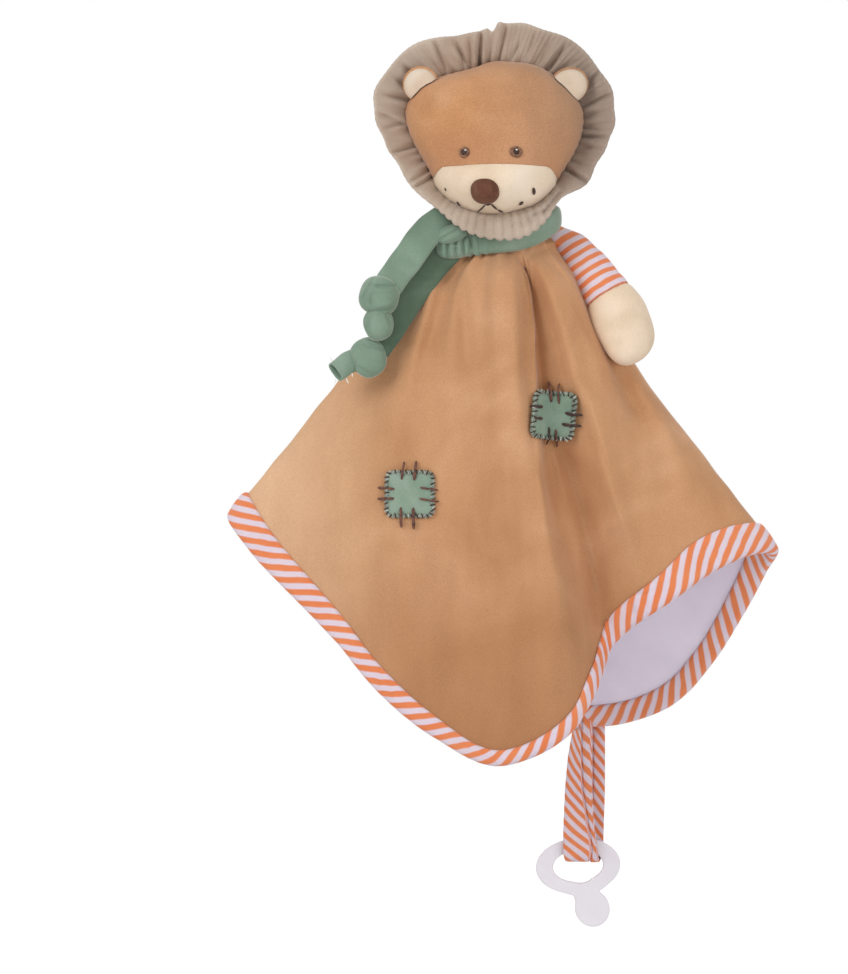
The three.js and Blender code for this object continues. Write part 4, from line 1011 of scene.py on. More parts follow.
def roundedPlace(turn, width, height, corner):
    # a point of a rounded rectangle's outline at a share of its way round, and its outward direction
    straightX, straightY = width - 2 * corner, height - 2 * corner
    arc = corner * math.pi / 2
    run = turn * (2 * (straightX + straightY) + 4 * arc)
    sides = [(straightX, (0, 1)), (straightY, (1, 0)), (straightX, (0, -1)), (straightY, (-1, 0))]
    at = np.array([-straightX / 2, height / 2])
    for length, out in sides:
        way = np.array([out[1], -out[0]], float)
        out = np.array(out, float)
        if run <= length:
            return at + way * run, out
        at = at + way * length
        centre = at - out * corner
        run -= length
        if run <= arc:
            a = run / corner
            direction = out * math.cos(a) + way * math.sin(a)
            return centre + direction * corner, direction
        at = centre + way * corner
        run -= arc
    return at, np.array([0.0, 1.0])


def softGround(tree, middle, turned):
    # the cloth under a patch, smoothed as a stiffer piece bridges it: place and normal by flat place
    count, step = 45, 0.6
    spread = (np.arange(count) - count // 2) * step
    depth = np.empty((count, count))
    for i, u in enumerate(spread):
        for k, v in enumerate(spread):
            depth[i, k] = ontoFront(tree, *(middle + turned @ np.array([u, v])))[0][1]
    near = depth.copy()
    for i in (-2, -1, 0, 1, 2):
        for k in (-2, -1, 0, 1, 2):
            near = np.minimum(near, np.roll(np.roll(depth, i, 0), k, 1))
    for _ in range(90):
        padded = np.pad(near, 1, mode="edge")
        near = (padded[:-2, 1:-1] + padded[2:, 1:-1] + padded[1:-1, :-2] + padded[1:-1, 2:]
                + 4 * near) / 8

    def ground(flat):
        local = turned.T @ (np.asarray(flat) - middle)
        a, b = (np.clip(local / step + count // 2, 0, count - 1.001)).tolist()
        i, k = int(a), int(b)
        a, b = a - i, b - k
        low = near[i, k] * (1 - b) + near[i, k + 1] * b
        high = near[i + 1, k] * (1 - b) + near[i + 1, k + 1] * b
        slopeU = (high - low) / step
        slopeV = ((near[i, k + 1] - near[i, k]) * (1 - a)
                  + (near[i + 1, k + 1] - near[i + 1, k]) * a) / step
        slope = turned @ np.array([slopeU, slopeV])
        normal = unit(np.array([slope[0], -1, slope[1]]))
        return np.array([flat[0], low * (1 - a) + high * a, flat[1]]), normal
    return ground


def addPatch(side, tree):
    size = patchSizes[side]
    spin = math.radians(size["turn"])
    turned = np.array([[math.cos(spin), -math.sin(spin)], [math.sin(spin), math.cos(spin)]])
    middle = np.array(size["middle"])
    ground = softGround(tree, middle, turned)
    rings, around = 14, 96
    top, base = [], []
    for k in range(around):
        edge, _ = roundedPlace(k / around, size["width"], size["height"], patchSizes["corner"])
        upper, lower = [], []
        for r in range(1, rings + 1):
            share = 1 - (1 - r / rings) ** 1.5
            flat = middle + turned @ (edge * share)
            place, normal = ground(flat)
            fromEdge = (1 - share) * np.linalg.norm(edge)
            puff = 0.35 * (1 - math.exp(-(fromEdge / 2.2) ** 2))
            dip = 0.35 * math.exp(-((fromEdge - 1.4) / 0.7) ** 2)
            rise = patchSizes["gap"] + patchSizes["thickness"] + puff - dip
            if r == rings:
                rise = patchSizes["gap"] + patchSizes["thickness"] * 0.45
            upper.append(place + normal * rise)
            lower.append(place + normal * patchSizes["gap"])
        top.append(upper)
        base.append(lower)
    top, base = np.array(top), np.array(base)
    centre, normal = ground(middle)
    rise = patchSizes["gap"] + patchSizes["thickness"] + 0.35
    points = np.concatenate([top.reshape(-1, 3), base.reshape(-1, 3), [centre + normal * rise],
                             [centre + normal * patchSizes["gap"]]])
    faces = gridFaces(around, rings, True, False)[0].tolist()
    shift = around * rings
    faces += [[a + shift for a in face[::-1]] for face in faces]
    for k in range(around):
        following = (k + 1) % around
        faces.append([k * rings + rings - 1, following * rings + rings - 1,
                      following * rings + rings - 1 + shift, k * rings + rings - 1 + shift])
        faces.append([2 * shift, following * rings, k * rings])
        faces.append([2 * shift + 1, k * rings + shift, following * rings + shift])
    piece = pieceFrom(side + "Patch", points, faces, greenVelour)
    settle(piece, "blanket", "green_velour", side + "_patch")
    addPatchStitches(side, size, middle, turned, tree, ground)


def addPatchStitches(side, size, middle, turned, tree, ground):
    lift = patchSizes["gap"] + patchSizes["thickness"] * 0.75
    perimeter = 2 * (size["width"] + size["height"]) - 1.7 * patchSizes["corner"]
    count = int(perimeter / patchSizes["whipPitch"])
    random = np.random.default_rng(5 if side == "left" else 6)
    runs = {"whip": [], "brown": [], "dark": []}
    for k in range(count):
        edge, out = roundedPlace(k / count, size["width"], size["height"], patchSizes["corner"])
        sway = np.array([out[1], -out[0]]) * (0.35 + 0.3 * random.normal())
        reach = patchSizes["whipLength"] * random.uniform(0.8, 1.15)
        inward = middle + turned @ (edge - out * (reach - 0.5) + sway)
        outward = middle + turned @ (edge + out * 0.5 - sway)
        first, facing = ground(inward)
        second, _ = ground(outward)
        start = first + facing * (lift + 0.2)
        end = second + facing * (lift - 0.35)
        kind = "dark" if k % 2 else "whip"
        runs[kind].append((start, end, facing, patchSizes["whipWidth"], 0.6))
    for x, y, angle, length, width, tone in longStitches[side]:
        way = np.array([math.cos(math.radians(angle)), math.sin(math.radians(angle))]) * length / 2
        spot = middle + turned @ np.array([x * size["width"], y * size["height"]])
        ends = []
        for flat in (spot - way, spot + way):
            local = turned.T @ (flat - middle)
            inside = abs(local[0]) < size["width"] / 2 and abs(local[1]) < size["height"] / 2
            place, facing = ground(flat) if inside else ontoFront(tree, *flat)
            ends.append(place + facing * (
                patchSizes["gap"] + (patchSizes["thickness"] + 0.25 if inside else 0.35)))
        centre, facing = ground(spot)
        centre = centre + facing * (lift + 0.75)
        runs[tone].append((ends[0], centre + (centre - ends[0]) * 0.08, facing, width, 0.8))
        runs[tone].append((centre + (centre - ends[1]) * 0.08, ends[1], facing, width * 0.94, 0.8))
    piece = stitchesPiece(side + "PatchStitching", runs["brown"], brownThread)
    settle(piece, "blanket", "brown_thread", side + "_patch_stitching")
    whip = stitchesPiece(side + "PatchWhipping", runs["whip"], whipThread)
    settle(whip, "blanket", "brown_thread")
    dark = stitchesPiece(side + "PatchDarkStitching", runs["dark"], darkThread)
    settle(dark, "blanket", "brown_thread")


blanketTree = surfaceTree(blanketVelour)
addPatch("left", blanketTree)
addPatch("right", blanketTree)
print("patches are sewn on")


# Head
head = {
    "middleX": -2.6, "middleZ": 42.0035, "halfWidth": 35.5, "faceDepth": 27, "backDepth": 21,
    "setback": -2, "lean": 0.3,
    "fullness": 2.5, "snoutProud": 5, "snoutWidth": 30, "snoutHeight": 18, "snoutPlace": (-0.04, -0.65),
    "skin": 1.4,
    "gap": 0.3, "seamGap": 0.04, "muzzleSeam": 26.9,
}
faceOutline = [0.997, 1.028, 0.98, 0.945, 0.89, 0.834, 0.811, 0.775, 0.803, 0.887, 0.986, 1.02,
               0.95, 0.87, 0.845, 0.9, 0.94, 0.95, 0.948, 0.945, 0.955, 0.924, 0.896, 0.935]
maneOutline = [1.332, 1.394, 1.386, 1.358, 1.3, 1.25, 1.195, 1.145, 1.236, 1.341, 1.389, 1.4,
               1.28, 1.169, 1.121, 1.113, 1.104, 1.155, 1.197, 1.217, 1.16, 1.085, 1.192, 1.225]


def shareAround(shares, turn):
    shares = np.asarray(shares)
    place = (np.asarray(turn, float) / 360 % 1) * len(shares)
    k = np.floor(place).astype(int)
    t = place - k
    a, b, c, d = (shares[(k + n) % len(shares)] for n in (-1, 0, 1, 2))
    return b + 0.5 * t * (c - a + t * (2 * a - 5 * b + 4 * c - d + t * (3 * (b - c) + d - a)))


def headPoint(turn, latitude, lift=0.0):
    turn, latitude = np.broadcast_arrays(np.asarray(turn, float), np.asarray(latitude, float))
    level = np.cos(np.radians(latitude)).clip(0, 1) ** (2 / head["fullness"])
    rise = np.sin(np.radians(np.abs(latitude))) ** (2 / head["fullness"])
    reach = (head["halfWidth"] * shareAround(faceOutline, turn) + lift) * level
    x, z = reach * np.cos(np.radians(turn)), reach * np.sin(np.radians(turn))
    y = head["setback"] + head["lean"] * z
    fromX = (x - head["snoutPlace"][0] * head["halfWidth"]) / (head["snoutWidth"] / 2)
    fromZ = (z - head["snoutPlace"][1] * head["halfWidth"]) / (head["snoutHeight"] / 2)
    snout = head["snoutProud"] * np.exp(-(fromX ** 2 + fromZ ** 2) / 2)
    front = y - (head["faceDepth"] + lift + snout) * rise
    back = y + (head["backDepth"] + lift) * rise
    return np.stack([head["middleX"] + x, np.where(latitude > 0, front, back), head["middleZ"] + z], -1)


def seamLine(x):
    # height of the seam over the muzzle, rounded down at both corners of the mouth
    right, left = smoothStep(x, 17.5, 25.5) ** 1.3, smoothStep(-x, 22.5, 29.5)
    return head["muzzleSeam"] - 6.5 * right - 5.5 * left + 0.3 * np.cos(x / 8)


def seamDip(grid):
    # the skin drops into the seam over the muzzle and swells beside it
    away = grid[..., 2] - seamLine(grid[..., 0])
    below = away < 0
    return (-0.4 * np.exp(-(away / 0.9) ** 2)
            + np.where(below, 0.6, 0.3) * (1 - np.exp(-(away / 3.0) ** 2)) * np.exp(-(away / 14) ** 2))


def headSkin(front):
    turns = np.arange(264) * 360 / 264
    steps = np.concatenate([[0], np.linspace(0.04, 1, 62) ** 1.1]) * 88.6
    latitudes = steps if front else -steps
    grid = headPoint(turns[:, None], latitudes[None])
    normals = gridNormals(grid)
    if front:
        normals = np.where(normals[..., 1:2] > 0, -normals, normals)
        lift = seamDip(grid) + 0.35 * ripple(grid, 21, 11)
    else:
        normals = np.where(normals[..., 1:2] < 0, -normals, normals)
        lift = 0.4 * ripple(grid, 24, 12)
    edge = np.exp(-(np.abs(latitudes) / 5.0) ** 2)
    pucker = 0.28 * np.sin(np.radians(turns)[:, None] * 58 + 2 * np.sin(np.radians(turns)[:, None] * 5))
    lift = lift * (1 - edge) + pucker * edge * smoothStep(np.abs(latitudes), 0, 2)
    grid = grid + normals * lift[..., None]
    centre = grid[:, -1].mean(0)
    points = np.concatenate([grid.reshape(-1, 3), centre[None]])
    faces = gridFaces(len(turns), len(steps), True, False)[0].tolist()
    last = len(steps) - 1
    for k in range(len(turns)):
        faces.append([k * len(steps) + last, ((k + 1) % len(turns)) * len(steps) + last,
                      len(points) - 1])
    return points, faces


def thicken(piece, thickness, inward=True):
    bpy.ops.object.select_all(action="DESELECT")
    piece.select_set(True)
    bpy.context.view_layer.objects.active = piece
    wall = piece.modifiers.new("wall", "SOLIDIFY")
    wall.thickness = thickness * metre
    wall.offset = -1 if inward else 1
    wall.use_even_offset = False
    bpy.ops.object.modifier_apply(modifier=wall.name)


def turnFaces(piece, outwardFrom):
    # an open sheet's normals turned away from a point
    work = bmesh.new()
    work.from_mesh(piece.data)
    bmesh.ops.recalc_face_normals(work, faces=work.faces)
    total = sum((f.calc_center_median() - Vector(outwardFrom) * metre).dot(f.normal) * f.calc_area()
                for f in work.faces)
    if total < 0:
        bmesh.ops.reverse_faces(work, faces=work.faces)
    work.to_mesh(piece.data)
    work.free()


def cutPanel(name, points, faces, keepAbove, material):
    # the part of the face above or below the muzzle's seam
    straightened = points.copy()
    straightened[:, 2] -= seamLine(points[:, 0])
    work = bmesh.new()
    vertices = [work.verts.new(p) for p in straightened]
    for face in faces:
        work.faces.new([vertices[k] for k in face])
    geometry = list(work.verts) + list(work.edges) + list(work.faces)
    half = head["seamGap"] / 2 * (1 if keepAbove else -1)
    bmesh.ops.bisect_plane(work, geom=geometry, plane_co=(0, 0, half), plane_no=(0, 0, 1),
                           clear_inner=keepAbove, clear_outer=not keepAbove)
    for vertex in work.verts:
        vertex.co.z += float(seamLine(np.array(vertex.co.x)))
        vertex.co *= metre
    mesh = bpy.data.meshes.new(name)
    work.to_mesh(mesh)
    work.free()
    mesh.materials.append(material)
    mesh.polygons.foreach_set("use_smooth", [True] * len(mesh.polygons))
    piece = bpy.data.objects.new(name, mesh)
    bpy.context.scene.collection.objects.link(piece)
    turnFaces(piece, (head["middleX"], head["setback"], head["middleZ"]))
    thicken(piece, head["skin"])
    return piece


def addHeadBody():
    points, faces = headSkin(True)
    points = points - np.array([0, head["gap"] / 2, 0])
    forehead = cutPanel("foreheadPanel", points, faces, True, headVelour)
    muzzle = cutPanel("muzzlePanel", points, faces, False, creamVelour)
    settle(forehead, "head", "tan_velour", "forehead_panel")
    settle(muzzle, "head", "cream_velour", "muzzle_panel")
    backPoints, backFaces = headSkin(False)
    back = pieceFrom("headBackPanel", backPoints + np.array([0, head["gap"] / 2, 0]), backFaces,
                     headVelour)
    turnFaces(back, (head["middleX"], head["setback"], head["middleZ"]))
    thicken(back, head["skin"])
    settle(back, "head", "tan_velour", "head_back_panel")
    turns, latitudes = np.arange(96) * 3.75, np.linspace(-86, 86, 61)
    grid = headPoint(turns[:, None], latitudes[None], -head["skin"] - 1.1)
    grid = grid + unit(grid - grid.mean((0, 1))) * (0.3 * ripple(grid, 12, 13))[..., None]
    stuffing = gridPiece("headStuffing", grid.transpose(1, 0, 2), filling, False, True, None, True)
    settle(stuffing, "head", "white_filling", "head_stuffing")
    return forehead, muzzle


forehead, muzzle = addHeadBody()
print("head: face, back and stuffing are made")


# Mane: a gathered double strip of wide ribs round the face
mane = {
    "thickness": 3.2, "sideLean": 9, "chinLean": 15, "ribs": 106, "ribCrowd": 36, "ribDepth": 0.34,
    "chinRibDepth": 0.85, "stepsPerRib": 9,
    "overlapTurn": 88.5, "overlapStep": 3.0, "tuck": 0.7, "puckers": 46,
}
# Deep gathers: outer and inner end in pixels of the photograph, and depth
maneCreases = [
    (435, 44, 445, 71, 2.0), (456, 45, 469, 68, 2.0), (452, 61, 459, 65, 1.4),
    (480.5, 34, 479, 68, 3.2), (505.5, 26, 499, 60, 2.4), (492, 38, 489, 66, 0.9),
    (470, 40, 471, 66, 1.2), (461, 52, 464, 68, 1.2),
    (386, 95, 409, 101, 1.8), (380, 114, 406, 125.5, 1.8), (386, 128, 400, 124, 1.4),
    (394, 152, 416, 147, 2.2),
    (411, 181, 430, 171, 1.8), (415, 187, 434, 176, 1.8), (563, 48, 550, 68, 2.0),
    (575, 62, 566, 68, 1.2), (609, 95, 582, 107, 1.8),
    (596, 114, 583, 118, 1.3), (599, 130, 582, 128, 1.4), (605, 138, 582, 137, 1.8),
    (592, 148, 577, 149, 1.4),
    (587, 183, 566, 169, 2.4), (519, 44, 511, 60, 1.4), (404, 66, 420, 84, 1.5),
    (398, 80, 414, 92, 1.2), (600, 70, 588, 84, 1.4),
    (534, 34, 527, 62, 0.8), (549, 42, 540, 66, 0.8), (533, 220, 512, 224.5, 1.5),
    (562, 190, 546, 210, 2.2), (546, 210, 530, 217, 1.6),
]


def manePoint(turn, reachShare, thicknessShare):
    turn, reachShare, thicknessShare = np.broadcast_arrays(turn, reachShare, thicknessShare)
    angle = np.radians(turn)
    chin = np.maximum(0, -np.sin(angle)) ** 2
    lean = mane["sideLean"] + (mane["chinLean"] - mane["sideLean"]) * chin
    curl = 0.8 + chin
    inner = head["halfWidth"] * shareAround(faceOutline, turn) - mane["tuck"]
    outer = head["halfWidth"] * shareAround(maneOutline, turn)
    fromOverlap = (turn - mane["overlapTurn"] + 180) % 360 - 180
    lap = (smoothStep(-fromOverlap, -1.0, 1.2) * np.exp(-np.clip(-fromOverlap, 0, 60) / 16)
           * (fromOverlap > -90))
    outer = outer + 1.5 * smoothStep(-np.sin(angle), 0.8, 1.0)
    outer = outer + 1.2 * lap - 2.2 * np.exp(-((fromOverlap - 2.2) / 2.0) ** 2)
    phase = mane["ribs"] * angle - mane["ribCrowd"] * np.cos(angle)
    rib = np.abs(np.cos(phase / 2)) ** 0.8 * 2 - 1.25
    low = smoothStep(-np.sin(angle), 0.72, 0.95)
    right = smoothStep(np.cos(angle) + 0.5 * np.sin(angle), 0.2, 0.7)
    ribDepth = mane["ribDepth"] * (0.35 + 0.65 * right) * (1 - low) + mane["chinRibDepth"] * low
    pucker = np.sin(mane["puckers"] * angle + 2.1 * np.sin(3 * angle) + 1.4 * np.sin(7 * angle + 1))
    reach = inner + (outer - inner) * reachShare ** curl + (0.06 + 0.5 * low) * rib * reachShare ** 3
    reach = reach + 0.35 * np.sin(17 * angle + 2 * np.sin(4 * angle)) * reachShare ** 2 * (1 - low)
    z = reach * np.sin(angle)
    forward = lean * reachShare ** (1 / curl)
    half = (mane["thickness"] / 2) * thicknessShare
    soft = 1.0 * np.sin(11 * angle + 1.5 * np.sin(3 * angle)) + 0.6 * np.sin(23 * angle + 2)
    wave = soft * reachShare * 0.8 * (1 - 0.6 * chin)
    y = (head["setback"] + head["lean"] * inner * np.sin(angle) - forward + wave
         - half * (1 - 0.4 * chin * reachShare))
    near = np.exp(-(reachShare / 0.5) ** 2)
    y = y - (ribDepth * rib * np.sign(thicknessShare) * np.minimum(np.abs(thicknessShare), 1)
             * (0.35 + 0.65 * reachShare))
    y = y - (0.75 - 0.45 * low) * pucker * near * (thicknessShare > -0.2)
    y = y - mane["overlapStep"] * lap * reachShare
    z = z + half * chin * 0.7 * reachShare
    return np.stack([head["middleX"] + reach * np.cos(angle), y, head["middleZ"] + z], -1)


def addMane():
    columns = mane["ribs"] * mane["stepsPerRib"]
    turns = np.arange(columns) * 360 / columns
    frontReach = np.array([0, 0.08, 0.18, 0.3, 0.42, 0.54, 0.66, 0.77, 0.86, 0.93, 0.975, 1.0])
    frontThick = np.array([0.45, 0.75, 0.95, 1, 1, 1, 1, 0.98, 0.92, 0.75, 0.45, 0.0])
    reach = np.concatenate([frontReach, frontReach[-2::-1]])
    thick = np.concatenate([frontThick, -frontThick[-2::-1]])
    grid = manePoint(turns[:, None], reach[None], thick[None])
    push = creaseRelief(grid, maneCreases)
    facing = np.where(thick > 0, 1, np.where(thick < 0, 0.8, 0.9))
    grid[..., 1] += push * facing
    piece = gridPiece("maneRuffle", grid, maneCord, True, True)
    settle(piece, "head", "mane_corduroy", "mane_ruffle")
    return piece


addMane()
print("mane is gathered")


# Face: pads and stitches on the skin, each place in pixels of the photograph
faceTree = None


def skinTree():
    points, faces = [], []
    for piece in (forehead, muzzle):
        offset = len(points)
        points += [v.co / metre for v in piece.data.vertices]
        faces += [[k + offset for k in p.vertices] for p in piece.data.polygons]
    return BVHTree.FromPolygons(points, faces)


def towardsSkin(px, py):
    # the place on the face that the camera sees at a pixel
    eye = Vector((studio["cameraX"], -studio["cameraDistance"], studio["cameraZ"]))
    x = studio["cameraX"] + (px - studio["photoMiddle"][0]) * studio["pixel"]
    z = studio["cameraZ"] - (py - studio["photoMiddle"][1]) * studio["pixel"]
    ray = (Vector((x, 0, z)) - eye).normalized()
    place, normal, _, _ = faceTree.ray_cast(eye, ray)
    if normal.y > 0:
        normal = -normal
    return np.array(place), np.array(normal)


def skinPad(name, px, py, halfWidth, halfHeight, proud, material, rings=10, around=40, fullness=2.4,
            hollow=None, spin=0):
    # a sewn pad or embroidered disc that follows the skin; hollow leaves a hole in its middle
    place, facing = towardsSkin(px, py)
    across = unit(np.cross(np.array([0, 0, 1.0]), facing))
    across = across if across[0] > 0 else -across
    up = unit(np.cross(facing, across))
    up = up if up[2] > 0 else -up
    angle = np.arange(around) * 2 * np.pi / around
    first = hollow or 0.0
    shares = first + (1 - first) * np.linspace(0, 1, rings + 1)
    top, base = [], []
    for a in angle:
        c, s = math.cos(a), math.sin(a)
        width = np.abs(c) ** fullness + np.abs(s) ** fullness
        reach = width ** (-1 / fullness)
        c2, s2 = math.cos(a + spin), math.sin(a + spin)
        upper, lower = [], []
        for share in shares:
            offset = across * (c2 * reach * halfWidth * share) + up * (s2 * reach * halfHeight * share)
            spot, _ = faceTree.ray_cast(Vector(place + offset + facing * 12), Vector(-facing))[:2]
            spot = np.array(spot) if spot is not None else place + offset
            if hollow:
                local = (share - first) / (1 - first) * 2 - 1
                rise = proud * math.sqrt(max(0.0, 1 - local ** 2))
            else:
                rise = proud * max(0.0, 1 - share ** 2.6) ** 0.55
            upper.append(spot + facing * (rise + 0.32))
            lower.append(spot + facing * 0.3)
        top.append(upper)
        base.append(lower)
    top, base = np.array(top), np.array(base)
    section = np.concatenate([top, base[:, ::-1]], 1)
    if hollow:
        return gridPiece(name, section, material, True, True)
    section = section[:, 1:-1]
    faces = gridFaces(around, section.shape[1], True, False)[0].tolist()
    points = np.concatenate([section.reshape(-1, 3), top[:, 0].mean(0)[None], base[:, 0].mean(0)[None]])
    m = section.shape[1]
    for k in range(around):
        following = (k + 1) % around
        faces.append([len(points) - 2, k * m, following * m])
        faces.append([len(points) - 1, following * m + m - 1, k * m + m - 1])
    return pieceFrom(name, points, faces, material)


def skinStitch(name, places, width, thickness, material):
    runs = []
    for k in range(len(places) - 1):
        first, facing = towardsSkin(*places[k])
        second, _ = towardsSkin(*places[k + 1])
        runs.append((first + facing * 0.25, second + facing * 0.25, facing, width, thickness))
    return stitchesPiece(name, runs, material)


def addFace():
    for side, px, py, glint in (("left", 464.5, 152.5, (466.0, 151.0)),
                                ("right", 516, 152, (516.2, 150.6))):
        wide, high = (2.2, 2.4) if side == "left" else (2.6, 2.4)
        ring = skinPad(side + "EyeRing", px, py, wide, high, 0.6, irisThread, 8, 36, 2.0, 0.46)
        settle(ring, "head", "brown_thread", side + "_eye_ring")
        pupil = skinPad(side + "EyePupil", px, py, 1.08, 1.12, 0.55, darkThread, 6, 24, 2.0)
        settle(pupil, "head", "brown_thread", side + "_eye_pupil")
        spot, facing = towardsSkin(*glint)
        start = spot + facing * 0.8 + np.array([-0.42, 0, 0.12])
        shine = stitchesPiece(side + "EyeGlint",
                              [(start, start + np.array([0.85, 0, -0.2]), facing, 0.62, 0.4)],
                              whiteThread)
        settle(shine, "head", "brown_thread")
    nose = skinPad("nose", 484.8, 192.2, 5.7, 5.65, 3.3, noseVelour, 16, 64, 2.3)
    settle(nose, "head", "brown_thread", "nose")
    mouth = skinStitch("mouthStitch", [(477.2, 211.6), (485.5, 204), (491, 203.2), (497.5, 208.8),
                                       (503.2, 211.4)], 0.85, 0.7, darkThread)
    settle(mouth, "head", "brown_thread", "mouth_stitch")
    dots = [(445.6, 187.2, 446.8, 190.6, 0.55), (457.2, 200.8, 461, 205.4, 0.9),
            (522.2, 200.8, 519.6, 204.6, 1.7), (532.6, 187.4, 534, 194.4, 1.6)]
    for k, (x0, y0, x1, y1, width) in enumerate(dots):
        dot = skinStitch("whiskerDot" + str(k + 1), [(x0, y0), (x1, y1)], width, 0.6, darkThread)
        settle(dot, "head", "brown_thread", "whisker_dot_" + str(k + 1))


faceTree = skinTree()
addFace()
print("face: eyes, nose, mouth and whiskers are sewn")


# Ears: two layers each, cream in front and tan behind, pressed against the head
ears = {"left": {"turn": 147.5, "reach": 0.74}, "right": {"turn": 31, "reach": 0.86}, "width": 13.4,
        "height": 18, "thickness": 5, "forward": 0.31, "gap": 0.3}


def grownHead(lift):
    turns, latitudes = np.arange(72) * 5.0, np.linspace(-87, 87, 49)
    grid = headPoint(turns[:, None], latitudes[None], lift)
    return gridPiece("headCutter", grid.transpose(1, 0, 2), filling, False, True, None, True)


def cutBy(piece, cutter):
    bpy.ops.object.select_all(action="DESELECT")
    piece.select_set(True)
    bpy.context.view_layer.objects.active = piece
    cut = piece.modifiers.new("cut", "BOOLEAN")
    cut.operation = "DIFFERENCE"
    cut.solver = "EXACT"
    cut.object = cutter
    bpy.ops.object.modifier_apply(modifier=cut.name)


def addEar(side, cutter):
    turn = math.radians(ears[side]["turn"])
    outline = head["halfWidth"] * float(shareAround(faceOutline, ears[side]["turn"]))
    middle = headPoint(ears[side]["turn"], 0.0) + np.array([0, -ears["forward"] * outline, 0])
    radial = np.array([math.cos(turn), 0, math.sin(turn)])
    across = np.array([-math.sin(turn), 0, math.cos(turn)])
    for layer, sign, material, slotName in (("Front", -1, earVelour, "cream_velour"),
                                            ("Back", 1, headVelour, "tan_velour")):
        rings, around = 14, 72
        angle = np.arange(around) * 2 * np.pi / around
        shares = np.linspace(0, 1, rings + 1)[1:]
        flat = (radial * (np.cos(angle) * ears[side]["reach"] * ears["height"] / 2)[:, None]
                + across * (np.sin(angle) * ears["width"] / 2)[:, None])
        rim = 1.0 if sign < 0 else 1.07
        face = (middle + np.array([0, 0, 0.35 if sign > 0 else -0.1])
                + flat[:, None] * (shares * rim)[None, :, None])
        bulge = ears["thickness"] / 2 * (1 - shares ** 3.2).clip(0, 1) ** 0.5
        cup = 0.9 * np.exp(-(shares / 0.55) ** 2) if sign < 0 else 0.0
        depth = np.maximum(bulge - cup, 0.25)
        outer = face + np.array([0, 1, 0]) * sign * depth[None, :, None]
        base = face + np.array([0, 1, 0]) * sign * 0.01
        section = np.concatenate([outer, base[:, ::-1]], 1)
        m = section.shape[1]
        faces = gridFaces(around, m, True, False)[0].tolist()
        crown = middle + np.array([0, sign * max(ears["thickness"] / 2 - (0.9 if sign < 0 else 0), 0.5),
                                   0])
        points = np.concatenate([section.reshape(-1, 3), crown[None],
                                 (middle + np.array([0, sign * 0.01, 0]))[None]])
        for k in range(around):
            following = (k + 1) % around
            faces.append([len(points) - 2, k * m, following * m])
            faces.append([len(points) - 1, following * m + m - 1, k * m + m - 1])
        piece = pieceFrom(side + "Ear" + layer, points, faces, material)
        cutBy(piece, cutter)
        settle(piece, "head", slotName, side + "_ear_" + layer.lower())


cutter = grownHead(ears["gap"] + 0.4)
addEar("left", cutter)
addEar("right", cutter)
bpy.data.objects.remove(cutter)
print("ears are set")


# Neck: the stuffed stump and the thread that the cloth is tied with
neck = {"threadDiameter": 1.2, "top": 13}


def tubeRing(centre, across, through, halfAcross, halfThrough, count, power=2.0):
    angle = np.arange(count) * 2 * np.pi / count
    c, s = np.cos(angle), np.sin(angle)
    c = np.sign(c) * np.abs(c) ** (2 / power)
    s = np.sign(s) * np.abs(s) ** (2 / power)
    return centre + np.outer(c * halfAcross, across) + np.outer(s * halfThrough, through)


def addNeck():
    inside = blanket["velourThickness"] + blanket["liningThickness"] + 0.6
    half = blanket["neckHalfDepth"] - inside - 0.4
    profile = [(-20, 0.5), (-17, 0.72), (-12, 0.9), (-6, 0.98), (-2, 0.98), (1, 0.97), (3.2, 0.85),
               (5.2, 0.7)]
    ring = [tubeRing(np.array([0, 0, height]), np.array([1.0, 0, 0]), np.array([0, 1.0, 0]),
                     half * share, half * share, 48) for height, share in profile]
    grid = np.array(ring)
    grid[..., 2] += 0.25 * ripple(grid, 9, 4)
    stump = gridPiece("neckStump", grid, headVelour, False, True, None, True)
    settle(stump, "neck", "tan_velour", "neck_stump")
    turns = np.arange(160) * 2.25
    lift = blanket["velourThickness"] / 2 + neck["threadDiameter"] / 2 + 0.3
    rings = []
    for turn in turns:
        angle = math.radians(turn)
        out = np.array([math.cos(angle), math.sin(angle), 0])
        centre = np.array([(blanket["neckHalfWidth"] + lift) * out[0],
                           (blanket["neckHalfDepth"] + lift) * out[1], -2.5])
        rings.append(tubeRing(centre, out, np.array([0, 0, 1.0]), 0.6, 0.6, 10))
    tie = gridPiece("neckThread", np.array(rings), darkThread, True, True)
    settle(tie, "blanket", "brown_thread", "neck_thread")


addNeck()


# Scarf: a flat tube round the neck and two knotted ends
scarf = {
    "thickness": 5.4, "width": 10, "frontHeight": -1.5, "rise": 9, "inset": 2.4, "tailWidth": 11.6,
    "tailThickness": 4.6,
    "innerStep": 4.6, "innerThickness": 5.4,
}
collarHalfWidth = blanket["neckHalfWidth"] + scarf["inset"] + scarf["thickness"] / 2
collarHalfDepth = blanket["neckHalfDepth"] + scarf["inset"] + scarf["thickness"] / 2


def collarPoint(turn, lift=0.0):
    angle = np.radians(turn)
    slope = ((1 - np.sin(angle)) / 2) ** 2
    height = scarf["frontHeight"] + scarf["rise"] * (1 - slope)
    return np.stack([(collarHalfWidth + lift) * np.cos(angle), (collarHalfDepth + lift) * np.sin(angle),
                     height * np.ones_like(angle)], -1)


